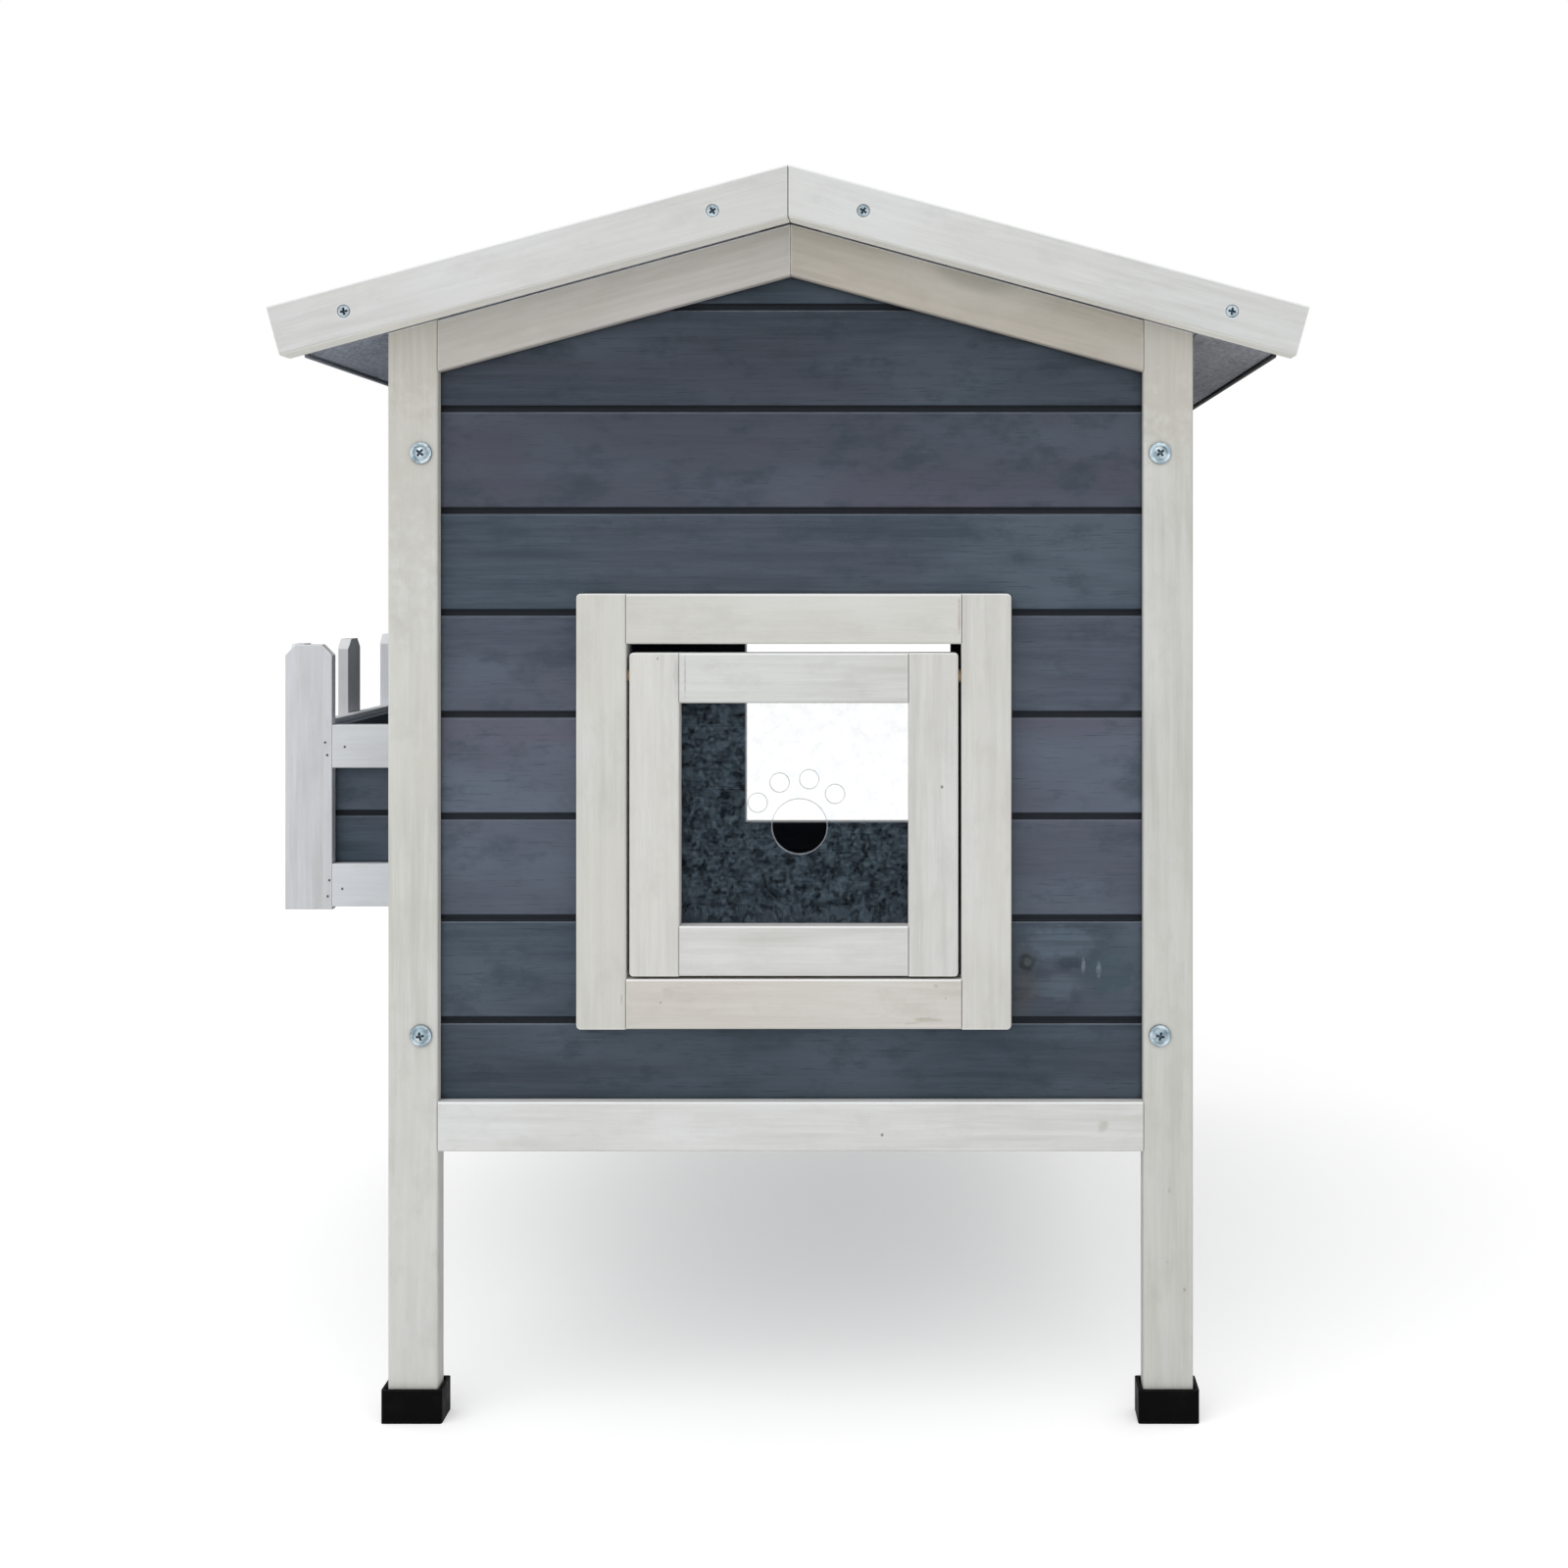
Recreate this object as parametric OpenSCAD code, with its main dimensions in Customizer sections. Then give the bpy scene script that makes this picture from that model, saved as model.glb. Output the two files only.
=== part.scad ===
// Elevated cat house: a boarded cabin on four legs with a swinging flap at the
// front, a doorway at the back, a fenced balcony on its left side and a ridge
// roof whose left half lifts. The front gable faces -Y and the balcony is on
// the -X side. The origin is on the ground, under the middle of the whole.

/* [House] */
// Width of the house over its corner posts
house_w = 484; // [440:1:560]
// Depth of the house over its two gable frames
house_d = 710; // [640:1:860]
// Height of the underside of the house above the ground
leg_h = 162; // [60:1:260]
// Height of the posts' outer faces above the underside of the house
wall_h = 492; // [460:0.5:560]
// How far the side walls stand in from the posts' outer faces
wall_inset = 12.5; // [2:0.5:14]
// Height of the floor's surface above the underside of the house
floor_rise = 26; // [24:0.5:29]

/* [Timber] */
// Width of the frame strips
strip_w = 30; // [26:1:36]
// Thickness of the frame strips
strip_t = 15; // [13:0.5:20]
// Radius of the eased edges of the strips
easing = 1.5; // [0.5:0.1:2.5]
// Thickness of the tongue-and-groove boards
board_t = 8; // [7:0.5:10]
// Cover width of one board
board_cover = 61.6; // [50:0.1:75]
// Open joint that shows between two boards
board_gap = 4; // [2:0.1:6]
// Height of the first open joint above the underside of the house
first_joint = 77.6; // [70:0.1:90]
// How far the frame's rebates take in the boards
housing = 8; // [5:0.5:10]
// Clearance round boards, floor and pane in their seats
seat_clear = 0.3; // [0.1:0.05:0.8]
// Hairline joint between the pieces of one group
hairline = 0.1; // [0.05:0.05:0.3]

/* [Doorways] */
// Clear width of each doorway
door_w = 200; // [170:1:230]
// Clear height of each doorway
door_h = 200; // [170:1:230]
// How far the gable doorways stand off the middle
door_x = 2.5; // [0:0.5:10]
// Height of the gable doorways above the underside of the house
door_sill = 105.5; // [80:0.5:125]
// Width of the doorway trim
trim_w = 30; // [24:1:36]
// Thickness of the doorway trim
trim_t = 15; // [12:0.5:18]
// Radius of the trim's outer corners
trim_corner = 3; // [1:0.5:6]

/* [Flap] */
// Gap at each side of the flap
flap_side_gap = 1.75; // [1:0.05:3]
// Gap over the flap
flap_top_gap = 5.3; // [4:0.1:8]
// Gap under the flap
flap_bottom_gap = 1.7; // [1:0.1:4]
// Width of the flap's stiles and rails
flap_rail_w = 30; // [24:1:36]
// Thickness of the flap
flap_t = 15; // [12:0.5:16]
// Radius of the flap's outer corners
flap_corner = 2.5; // [1:0.5:5]
// Depth of the flap's pivots below its top edge
pivot_drop = 14; // [12:0.5:18]
// Diameter of the pivot dowels
dowel_d = 8; // [5:0.5:8]
// How far a dowel goes into the trim and into the flap
dowel_depth = 12; // [8:0.5:16]
// Clearance round the dowels where they turn
pivot_clear = 0.08; // [0.02:0.01:0.1]

/* [Pane] */
// Thickness of the clear pane
pane_t = 3; // [2:0.5:4]
// How far the flap's rebate takes in the pane
pane_lap = 5; // [4:0.5:8]
// Depth of the rebate in the back of the flap
pane_rebate = 5; // [4.5:0.5:6]
// Diameter of the large hole
palm_d = 33; // [20:1:36]
// Height of the large hole above the pane opening's lower edge
palm_z = 58; // [45:1:66]
// How far the large hole stands right of the flap's middle
palm_x = 2.7; // [0:0.1:6]
// Diameter of the four small holes
toe_d = 11.3; // [6:0.1:12]
// Distance of the small holes from the large one
toe_reach = 29; // [28:0.5:34]
// Angle between two small holes
toe_step = 36; // [34:1:40]
// Angle by which the small holes are turned to the left
toe_turn = 6.5; // [0:0.5:12]

/* [Roof] */
// Pitch of the roof in degrees
roof_pitch = 15.25; // [10:0.25:24]
// Half the width of the roof over its bargeboards
roof_half = 308; // [300:1:340]
// Distance of the eaves from the ridge
eave_half = 290; // [284:1:296]
// Width of the bargeboards
barge_w = 30; // [30:1:40]
// Thickness of the bargeboards
barge_t = 20; // [15:0.5:25]
// Width of the roof battens and rafters
batten_w = 48; // [40:1:49]
// Thickness of the roof battens and rafters
batten_t = 20; // [18:0.5:22]
// Distance of the ridge batten from the ridge, along the slope
batten_inset = 18; // [10:0.5:25]
// Thickness of the roof boards
roof_board_t = 8; // [6:0.5:10]
// Thickness of the felt
felt_t = 2; // [1:0.1:3]
// How far the felt hangs below the soffit
felt_drip = 1.5; // [0:0.1:6]
// Open joint between the two roof halves
ridge_gap = 0.6; // [0.4:0.1:2]
// Clearance between the roof and the house
roof_clear = 0.3; // [0.2:0.05:0.8]

/* [Ridge hinges] */
// Length of a hinge
hinge_l = 64; // [40:1:80]
// Width of a hinge leaf
hinge_leaf_w = 24; // [18:1:32]
// Thickness of a hinge leaf
hinge_leaf_t = 1.2; // [1:0.1:2]
// Diameter of the hinge pin
hinge_pin_d = 2.8; // [2:0.1:4]
// Distance of each hinge from the nearer gable
hinge_inset = 110; // [60:1:180]

/* [Balcony] */
// How far the balcony stands out from the side wall's frame
balcony_out = 137.5; // [110:0.5:180]
// Length of the balcony
balcony_l = 370; // [330:1:460]
// How far the balcony and its doorway stand behind the middle of the wall
balcony_shift = 12; // [0:1:40]
// Height of the balcony's underside above the underside of the house
balcony_rise = 115; // [100:0.5:130]
// Thickness of the pickets, rails and boards of the balcony
slat_t = 8; // [7:0.5:10]
// Width of the balcony's pickets and rails
slat_w = 30; // [26:1:34]
// Height of the pickets
picket_h = 185; // [150:1:200]
// How far the pickets reach below the lower rail
picket_drop = 2; // [0:0.5:8]
// Width of the pickets at the outer corners
corner_picket_w = 33; // [26:1:38]
// Number of pickets along the front
picket_count = 4; // [3:1:6]
// Size of the cut corners of a picket
picket_ear = 7.5; // [4:0.5:10]
// Height of the top rail's upper edge above the balcony's underside
balcony_rail_top = 127; // [110:1:140]
// Side of the square battens in the balcony
balcony_batten = 15; // [12:1:18]
// Height of the balcony doorway's sill above the balcony's floor
balcony_sill = 5; // [1:0.5:10]

/* [Feet] */
// Height of the foot caps
foot_h = 20; // [12:1:30]
// Thickness of the foot caps' walls and floor
foot_wall = 2; // [1.5:0.1:3]
// Gap between a leg and its foot cap
foot_gap = 1.3; // [0.4:0.1:2]

/* [Screws] */
// Diameter of the frame screws' flanges
flange_d = 13; // [10:0.5:14]
// Diameter of the frame screws' heads
pan_d = 8.8; // [7:0.1:9.5]
// Diameter of the frame screws' shanks
frame_shank_d = 4; // [3.5:0.1:4.5]
// Length of the frame screws' shanks
frame_shank_l = 34; // [25:1:34]
// Height of the lower frame screws above the underside of the house
low_screw = 70; // [40:1:120]
// Height of the upper frame screws above the underside of the house
high_screw = 420; // [300:1:440]
// Diameter of the bargeboard screws' heads
csk_d = 7.8; // [7:0.1:9]
// Diameter of the bargeboard screws' shanks
csk_shank_d = 3.5; // [3:0.1:4]
// Length of the bargeboard screws
csk_l = 45; // [35:1:60]
// Distance of the outer bargeboard screws from the eave, along the slope
csk_inset = 33; // [10:1:38]

/* [Colours] */
// White-washed timber
white_wash = "#CDCECA";
// Slate-stained boards
slate_stain = "#454E57";
// Grey soffit and roof timber
grey_timber = "#5B5D61";
// Bitumen felt
felt_black = "#26282A";
// Zinc-plated steel
zinc = "#B9C2C8";
// Black plastic
plastic_black = "#101010";
// Bare dowel wood
dowel_wood = "#A98A5E";
// Clear plastic
clear_sheet = [0.85, 0.88, 0.90, 0.4];

/* [Hidden] */
$fn = 32;

// Overshoot of cutting tools past the faces they cut
cut = 1;
// Reach of the half spaces that trim the pieces
far = 2 * (house_w + house_d);

// The side walls, whose outer faces are wall_x from the ridge line
wall_x = house_w / 2 - wall_inset;
wall_l = house_d - 2 * strip_t;
wall_mid_x = wall_x - strip_t / 2;
boards_out = wall_x - (strip_t - board_t);
post_in = house_w / 2 - strip_w;
rebate_y = strip_t - board_t;

// The whole stands over the origin, so the ridge line is moved aside
balcony_x = wall_x + balcony_out;
house_x = (balcony_x - roof_half) / 2;

// The underside of the roof: its height at the ridge and at the side walls
rise = tan(roof_pitch);
ridge_z = leg_h + wall_h + rise * house_w / 2;
wall_top = ridge_z - rise * wall_x;
plumb = 1 / cos(roof_pitch);

// The lowest and highest reach of the gable boards, in their rebates
rail_top = leg_h + strip_w;
boards_foot = rail_top - housing;
gable_apex = ridge_z - (strip_w - housing) * plumb;
post_rebate_top = gable_apex - rise * post_in;
wall_rebate_top = wall_top - strip_w + housing;
first_board = leg_h + first_joint - board_cover;

// The section of a board, measured from its face and its lower joint
arris = 0.8;
tongue_front = 0.49 * board_t;
tongue_t = 0.3 * board_t;
tongue_l = 5;
tongue_clear = 0.2;
shoulder_clear = 0.1;

// Doorways
door_z = leg_h + door_sill;
balcony_z = leg_h + balcony_rise;
balcony_floor_z = balcony_z + 2 + balcony_batten + slat_t;
balcony_door_z = balcony_floor_z + balcony_sill;

// The flap hangs in the thickness of the trim
flap_w = door_w - 2 * flap_side_gap;
flap_h = door_h - flap_top_gap - flap_bottom_gap;
flap_z = door_z + flap_bottom_gap;
flap_y = rebate_y - trim_t + (trim_t - flap_t) / 2;
flap_mid_y = flap_y + flap_t / 2;
pivot_z = flap_z + flap_h - pivot_drop;
pane_w = flap_w - 2 * flap_rail_w + 2 * pane_lap;
pane_h = flap_h - 2 * flap_rail_w + 2 * pane_lap;
glue_line = 0.05;

// Floor
floor_z = leg_h + floor_rise;
floor_half = wall_x - strip_t - seat_clear;
floor_len = wall_l - 2 * seat_clear;

// The roof, measured along its slope and square to it
roof_stack = batten_t + roof_board_t + felt_t;
eave_l = eave_half * plumb;
barge_l = (roof_half - barge_w * sin(roof_pitch)) * plumb;
roof_len = house_d + 2 * roof_clear;
roof_board_count = 5;
roof_boards_start = -(batten_t + roof_board_t) * rise;
roof_board_cover = (eave_l - roof_boards_start) / roof_board_count;
csk_z = barge_w / 2;
csk_places = [batten_inset + batten_w / 2, eave_l - csk_inset];
felt_bend = 3;

// Ridge hinges
knuckle_r = hinge_pin_d / 2 + hinge_leaf_t;
hinge_lift = 0.3;
hinge_seat = roof_clear + roof_stack + hairline;
hinge_z = ridge_z + (hinge_seat + hinge_lift + knuckle_r) * plumb;
knuckle_count = 5;
knuckle_gap = 0.4;
knuckle_l = (hinge_l - (knuckle_count - 1) * knuckle_gap) / knuckle_count;
hinge_run_clear = 0.06;

// Balcony
balcony_back = boards_out;
side_y = balcony_l / 2;
fence_l = balcony_l - 2 * (slat_t + hairline);
picket_pitch = (fence_l - slat_w) / (picket_count - 1);
balcony_boards_z = balcony_z + 2;
balcony_board_cover = (balcony_rail_top - 2) / 2;
balcony_inner_x = balcony_x - 3 * slat_t;

// Screws
pan_h = 2;
flange_t = 1.2;
cross_w = 1.1;
cross_l = 4.8;
cross_depth = 1.3;
csk_h = 2.6;
csk_sink = 0.3;
csk_cross_l = 4.2;

// Holds everything at the house's place over the origin
module house() translate([house_x, 0, 0]) children();

// Turns a gable's pieces to the front or the back. In them y runs inward from
// the posts' outer face.
module gable(back) {
    house()
        mirror([0, back ? 1 : 0, 0])
            translate([0, -house_d / 2, 0])
                children();
}

// Turns a side wall's pieces to the left or the right. In them y runs inward
// from the frame's outer face and x runs towards the front on the left wall
// and towards the back on the right wall.
module wall(side) {
    house()
        translate([side * wall_x, 0, 0])
            rotate([0, 0, side * 90])
                children();
}

// Moves a gable's doorway and all that goes with it off the middle
module at_door() translate([door_x, 0, 0]) children();

// Moves the balcony and its doorway back along the left wall
module at_balcony() translate([0, balcony_shift, 0]) children();

// Mirrors a right-hand piece to the left where side is -1
module on_side(side) mirror([side < 0 ? 1 : 0, 0, 0]) children();

// Lays a piece on the right roof slope, with x down the slope from the ridge
// and z square to it from the roof's underside
module on_slope(lift = 0) {
    translate([0, 0, ridge_z])
        rotate([0, roof_pitch, 0])
            translate([0, 0, lift])
                children();
}

// Everything over the right slope's underside
module over_roof() on_slope() translate([-far / 2, -far / 2, 0]) cube([far, far, far]);

// Everything over a side wall's sloping top
module over_wall() {
    translate([-far / 2, 0, wall_top])
        rotate([roof_pitch, 0, 0])
            translate([0, -far / 2, 0])
                cube([far, far, far]);
}

// Section of a strip with its four edges eased
module eased(w, t, r = easing) {
    translate([r, 0]) square([w - 2 * r, t]);
    translate([0, r]) square([w, t - 2 * r]);
    for (x = [r, w - r], y = [r, t - r])
        translate([x, y]) circle(r);
}

// Strips of timber with eased long edges, one for each way they run
module strip_z(size) linear_extrude(size.z) eased(size.x, size.y);
module strip_x(size) rotate([90, 0, 90]) linear_extrude(size.x) eased(size.y, size.z);
module strip_y(size) {
    translate([0, size.y, 0])
        rotate([90, 0, 0])
            linear_extrude(size.y)
                eased(size.x, size.z);
}

// Section of a tongue-and-groove board: x is the depth behind its face and y
// runs from its lower joint to its upper one
function board_section(cover, t) = let(
    front = tongue_front * t / board_t,
    back = front + tongue_t,
    low = board_gap / 2,
    top = cover - board_gap / 2,
    tip = top + board_gap + tongue_l - tongue_clear
) [
    [arris, low], [0, low + arris], [0, top - arris], [arris, top],
    [front, top], [front, tip], [back, tip], [back, cover - shoulder_clear],
    [t, cover - shoulder_clear], [t, shoulder_clear],
    [back + tongue_clear, shoulder_clear],
    [back + tongue_clear, low + tongue_l + tongue_clear],
    [front - tongue_clear, low + tongue_l + tongue_clear],
    [front - tongue_clear, low]
];

// One board lying along x, with its face towards -y and its lower joint at z = 0
module board(length, cover = board_cover, t = board_t) {
    translate([-length / 2, 0, 0])
        rotate([90, 0, 90])
            linear_extrude(length)
                polygon(board_section(cover, t));
}

// A stack of boards along x, clipped by the first child and cut by the others
module boarding(length, from_z, to_z) {
    count = ceil((to_z - first_board) / board_cover);
    for (i = [0 : count - 1])
        if (first_board + (i + 1) * board_cover > from_z)
            difference() {
                intersection() {
                    translate([0, rebate_y, first_board + i * board_cover]) board(length);
                    children(0);
                }
                if ($children > 1) children(1);
            }
}

// Doorway cut, centred on x
module doorway(z, depth) {
    translate([-door_w / 2, -cut, z])
        cube([door_w, depth + 2 * cut, door_h]);
}

// Frame screw with a pan head on a flange, driven along +y from the face at y = 0
module frame_screw(turn) {
    dome_r = (pow(pan_d / 2, 2) + pow(pan_h, 2)) / (2 * pan_h);
    difference() {
        rotate([-90, 0, 0]) {
            translate([0, 0, -flange_t]) cylinder(h = flange_t, d = flange_d);
            intersection() {
                translate([0, 0, dome_r - pan_h - flange_t]) sphere(dome_r);
                translate([0, 0, -pan_h - flange_t]) cylinder(h = pan_h + flange_t, d = flange_d);
            }
            cylinder(h = frame_shank_l - frame_shank_d, d = frame_shank_d);
            translate([0, 0, frame_shank_l - frame_shank_d])
                cylinder(h = frame_shank_d, d1 = frame_shank_d, d2 = 1);
        }
        cross_recess(pan_h + flange_t, cross_l, turn);
    }
}

// Bargeboard screw with a countersunk head, driven along +y from the face at y = 0
module csk_screw(turn) {
    difference() {
        translate([0, csk_sink, 0])
            rotate([-90, 0, 0]) {
                cylinder(h = csk_h, d1 = csk_d, d2 = csk_shank_d);
                cylinder(h = csk_l - csk_shank_d, d = csk_shank_d);
                translate([0, 0, csk_l - csk_shank_d])
                    cylinder(h = csk_shank_d, d1 = csk_shank_d, d2 = 1);
            }
        cross_recess(-csk_sink, csk_cross_l, turn);
    }
}

// Cross-shaped driver recess in a head whose top is height proud of y = 0
module cross_recess(height, length, turn) {
    for (a = [turn, turn + 90])
        rotate([0, a, 0])
            translate([-length / 2, -height - cut, -cross_w / 2])
                cube([length, cross_depth + cut, cross_w]);
}

// Holes for the frame screws, in the right post and in the wall stile behind it
module frame_screw_holes(clear) {
    for (z = [low_screw, high_screw])
        translate([wall_mid_x, -cut, leg_h + z])
            rotate([-90, 0, 0])
                cylinder(h = frame_shank_l + 2 * cut, d = frame_shank_d + 2 * clear);
}

// Right corner post of a gable, which runs down as a leg
module gable_post() {
    difference() {
        translate([post_in, 0, foot_wall])
            strip_z([strip_w, strip_t, ridge_z - foot_wall]);
        over_roof();
        translate([post_in - cut, rebate_y, boards_foot])
            cube([housing + cut, board_t + cut, post_rebate_top - boards_foot]);
        frame_screw_holes(0.2);
    }
}

// Right sloping rail of a gable, plumb-cut at the ridge and at the post
module gable_rail() {
    joint = ridge_gap / 4;
    intersection() {
        on_slope()
            difference() {
                translate([-strip_w, 0, -strip_w])
                    strip_x([house_w, strip_t, strip_w]);
                translate([-strip_w - cut, rebate_y, -strip_w - cut])
                    cube([house_w + 2 * cut, board_t + cut, housing + cut]);
            }
        translate([joint, -cut, 0])
            cube([post_in - joint, strip_t + 2 * cut, far]);
    }
}

// Bottom rail of a gable
module gable_bottom_rail() {
    difference() {
        translate([-post_in, 0, leg_h])
            strip_x([2 * post_in, strip_t, strip_w]);
        translate([-post_in - cut, rebate_y, boards_foot])
            cube([2 * (post_in + cut), board_t + cut, housing + cut]);
    }
}

// Outline of the gable boards in their rebates
module gable_outline() {
    half = post_in + housing - seat_clear;
    apex = gable_apex - seat_clear * plumb;
    foot = boards_foot + seat_clear;
    translate([0, strip_t + cut, 0])
        rotate([90, 0, 0])
            linear_extrude(strip_t + 2 * cut)
                polygon([
                    [-half, foot], [half, foot],
                    [half, apex - rise * half], [0, apex], [-half, apex - rise * half]
                ]);
}

// Boards of a gable, cut round the doorway
module gable_boards() {
    boarding(2 * (post_in + housing), boards_foot, gable_apex) {
        gable_outline();
        at_door() doorway(door_z, strip_t);
    }
}

// Frontal outline of a doorway's trim, with its outer corners rounded
module trim_outline(w, h, r, t) {
    translate([-w / 2, t + cut, 0])
        rotate([90, 0, 0])
            linear_extrude(t + 2 * cut)
                eased(w, h, r);
}

// Right stile of a gable doorway's trim. The front one is bored for the flap.
module trim_stile(bored = false) {
    difference() {
        intersection() {
            translate([door_w / 2, rebate_y - trim_t, door_z - trim_w])
                strip_z([trim_w, trim_t, door_h + 2 * trim_w]);
            translate([0, rebate_y - trim_t, door_z - trim_w])
                trim_outline(door_w + 2 * trim_w, door_h + 2 * trim_w, trim_corner, trim_t);
        }
        if (bored)
            translate([door_w / 2 - cut, flap_mid_y, pivot_z])
                rotate([0, 90, 0])
                    cylinder(h = dowel_depth + cut, d = dowel_d + 2 * pivot_clear);
    }
}

// Top or bottom rail of a gable doorway's trim, with its lower edge at z
module trim_rail(z) {
    translate([-door_w / 2, rebate_y - trim_t, z])
        strip_x([door_w, trim_t, trim_w]);
}

// Rebate in the back of the flap that takes the pane
module pane_seat() {
    translate([-pane_w / 2, flap_y + flap_t - pane_rebate, flap_z + flap_rail_w - pane_lap])
        cube([pane_w, pane_rebate + cut, pane_h]);
}

// Right stile of the flap
module flap_stile() {
    difference() {
        intersection() {
            translate([flap_w / 2 - flap_rail_w, flap_y, flap_z])
                strip_z([flap_rail_w, flap_t, flap_h]);
            translate([0, flap_y, flap_z])
                trim_outline(flap_w, flap_h, flap_corner, flap_t);
        }
        pane_seat();
        translate([flap_w / 2 - dowel_depth, flap_mid_y, pivot_z])
            rotate([0, 90, 0])
                cylinder(h = dowel_depth + cut, d = dowel_d + 2 * glue_line);
    }
}

// Top or bottom rail of the flap, with its lower edge at z
module flap_rail(z) {
    half = flap_w / 2 - flap_rail_w;
    difference() {
        translate([-half, flap_y, z])
            strip_x([2 * half, flap_t, flap_rail_w]);
        pane_seat();
    }
}

// Clear pane with a large round hole under an arc of four small ones
module flap_pane_sheet() {
    y = flap_y + flap_t - pane_rebate;
    difference() {
        translate([-pane_w / 2 + seat_clear, y, flap_z + flap_rail_w - pane_lap + seat_clear])
            cube([pane_w - 2 * seat_clear, pane_t, pane_h - 2 * seat_clear]);
        translate([palm_x, y - cut, flap_z + flap_rail_w + palm_z])
            rotate([-90, 0, 0]) {
                cylinder(h = pane_t + 2 * cut, d = palm_d);
                for (i = [0 : 3])
                    rotate([0, 0, -90 - toe_turn + (i - 1.5) * toe_step])
                        translate([toe_reach, 0, 0])
                            cylinder(h = pane_t + 2 * cut, d = toe_d);
            }
    }
}

// Right pivot dowel, glued in the flap and turning in the trim
module flap_dowel() {
    inner = flap_w / 2 - dowel_depth + seat_clear;
    outer = door_w / 2 + dowel_depth - seat_clear;
    translate([inner, flap_mid_y, pivot_z])
        rotate([0, 90, 0])
            cylinder(h = outer - inner, d = dowel_d);
}

// One end stile of a side wall, at the end of its length on the given side
module wall_stile(end) {
    difference() {
        on_side(end)
            difference() {
                translate([wall_l / 2 - strip_w, 0, leg_h])
                    strip_z([strip_w, strip_t, ridge_z - leg_h]);
                translate([wall_l / 2 - strip_w - cut, rebate_y, boards_foot])
                    cube([housing + cut, board_t + cut, wall_rebate_top - boards_foot]);
                for (z = [low_screw, high_screw])
                    translate([wall_l / 2 + cut, strip_t / 2, leg_h + z])
                        rotate([0, -90, 0])
                            cylinder(
                                h = frame_shank_l - strip_t + 2 * cut,
                                d = frame_shank_d + 2 * glue_line
                            );
            }
        over_wall();
    }
}

// Top rail of a side wall, bevelled to the roof
module wall_top_rail() {
    half = wall_l / 2 - strip_w;
    difference() {
        translate([-half, 0, wall_top - strip_w])
            strip_x([2 * half, strip_t, 2 * strip_w]);
        over_wall();
        translate([-half - cut, rebate_y, wall_top - strip_w - cut])
            cube([2 * (half + cut), board_t + cut, housing + cut]);
    }
}

// Bottom rail of a side wall
module wall_bottom_rail() {
    half = wall_l / 2 - strip_w;
    difference() {
        translate([-half, 0, leg_h])
            strip_x([2 * half, strip_t, strip_w]);
        translate([-half - cut, rebate_y, boards_foot])
            cube([2 * (half + cut), board_t + cut, housing + cut]);
    }
}

// Boards of a side wall, with or without the balcony's doorway
module wall_boards(open) {
    half = wall_l / 2 - strip_w + housing - seat_clear;
    boarding(wall_l, boards_foot, wall_rebate_top) {
        translate([-half, -cut, boards_foot + seat_clear])
            cube([2 * half, strip_t + 2 * cut, wall_rebate_top - boards_foot - 2 * seat_clear]);
        if (open)
            translate([-balcony_shift, 0, 0])
                doorway(balcony_door_z, strip_t);
    }
}

// Trim of the balcony's doorway: two stiles that stand on the balcony's floor
// and a rail between them
module balcony_door_trim() {
    foot = balcony_floor_z + seat_clear;
    head = balcony_door_z + door_h;
    translate([0, rebate_y - trim_t, 0]) {
        for (side = [-1, 1])
            on_side(side)
                translate([door_w / 2, 0, foot])
                    strip_z([trim_w, trim_t, head + trim_w - foot]);
        translate([-door_w / 2 + hairline, 0, head])
            strip_x([door_w - 2 * hairline, trim_t, trim_w]);
    }
}

// Floor boards, laid from front to back with their faces up
module floor_boarding() {
    count = round(2 * floor_half / board_cover);
    cover = 2 * floor_half / count;
    for (i = [0 : count - 1])
        intersection() {
            translate([-floor_half + i * cover, 0, floor_z])
                rotate([-90, 0, -90])
                    board(floor_len, cover);
            translate([-floor_half, -far / 2, 0])
                cube([2 * floor_half, far, far]);
        }
}

// Three bearers under the floor, from side wall to side wall
module bearers() {
    half = wall_x - strip_t;
    for (y = [-1, 0, 1] * (floor_len - strip_w) / 2)
        translate([-half, y - strip_w / 2, floor_z - board_t - strip_t])
            strip_x([2 * half, strip_w, strip_t]);
}

// Everything of the right roof half that lies right of the ridge joint
module right_of_ridge() translate([ridge_gap / 2, -far / 2, 0]) cube([far, far, far]);

// Ridge batten, eave batten and the three rafters between them
module half_battens() {
    inner = batten_inset + batten_w;
    outer = eave_l - batten_w - hairline;
    difference() {
        union() {
            for (x = [batten_inset, outer])
                translate([x, -roof_len / 2, 0])
                    strip_y([batten_w, roof_len, batten_t]);
            for (y = [-1, 0, 1] * (roof_len - batten_w) / 2)
                translate([inner + hairline, y - batten_w / 2, 0])
                    strip_x([outer - inner - 2 * hairline, batten_w, batten_t]);
        }
        for (end = [-1, 1], x = csk_places)
            translate([x, end * (roof_len / 2 + cut), csk_z])
                rotate([end * 90, 0, 0])
                    cylinder(h = csk_l - barge_t + 2 * cut, d = csk_shank_d + 2 * glue_line);
    }
}

// Roof boards along the ridge, with their faces down
module half_boards() {
    intersection() {
        on_slope(roof_clear)
            for (i = [0 : roof_board_count - 1])
                intersection() {
                    translate([roof_boards_start + i * roof_board_cover, 0, batten_t])
                        rotate([90, 0, 90])
                            board(roof_len, roof_board_cover, roof_board_t);
                    translate([-far / 2, -far / 2, 0])
                        cube([far / 2 + eave_l, far, far]);
                }
        right_of_ridge();
    }
}

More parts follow.
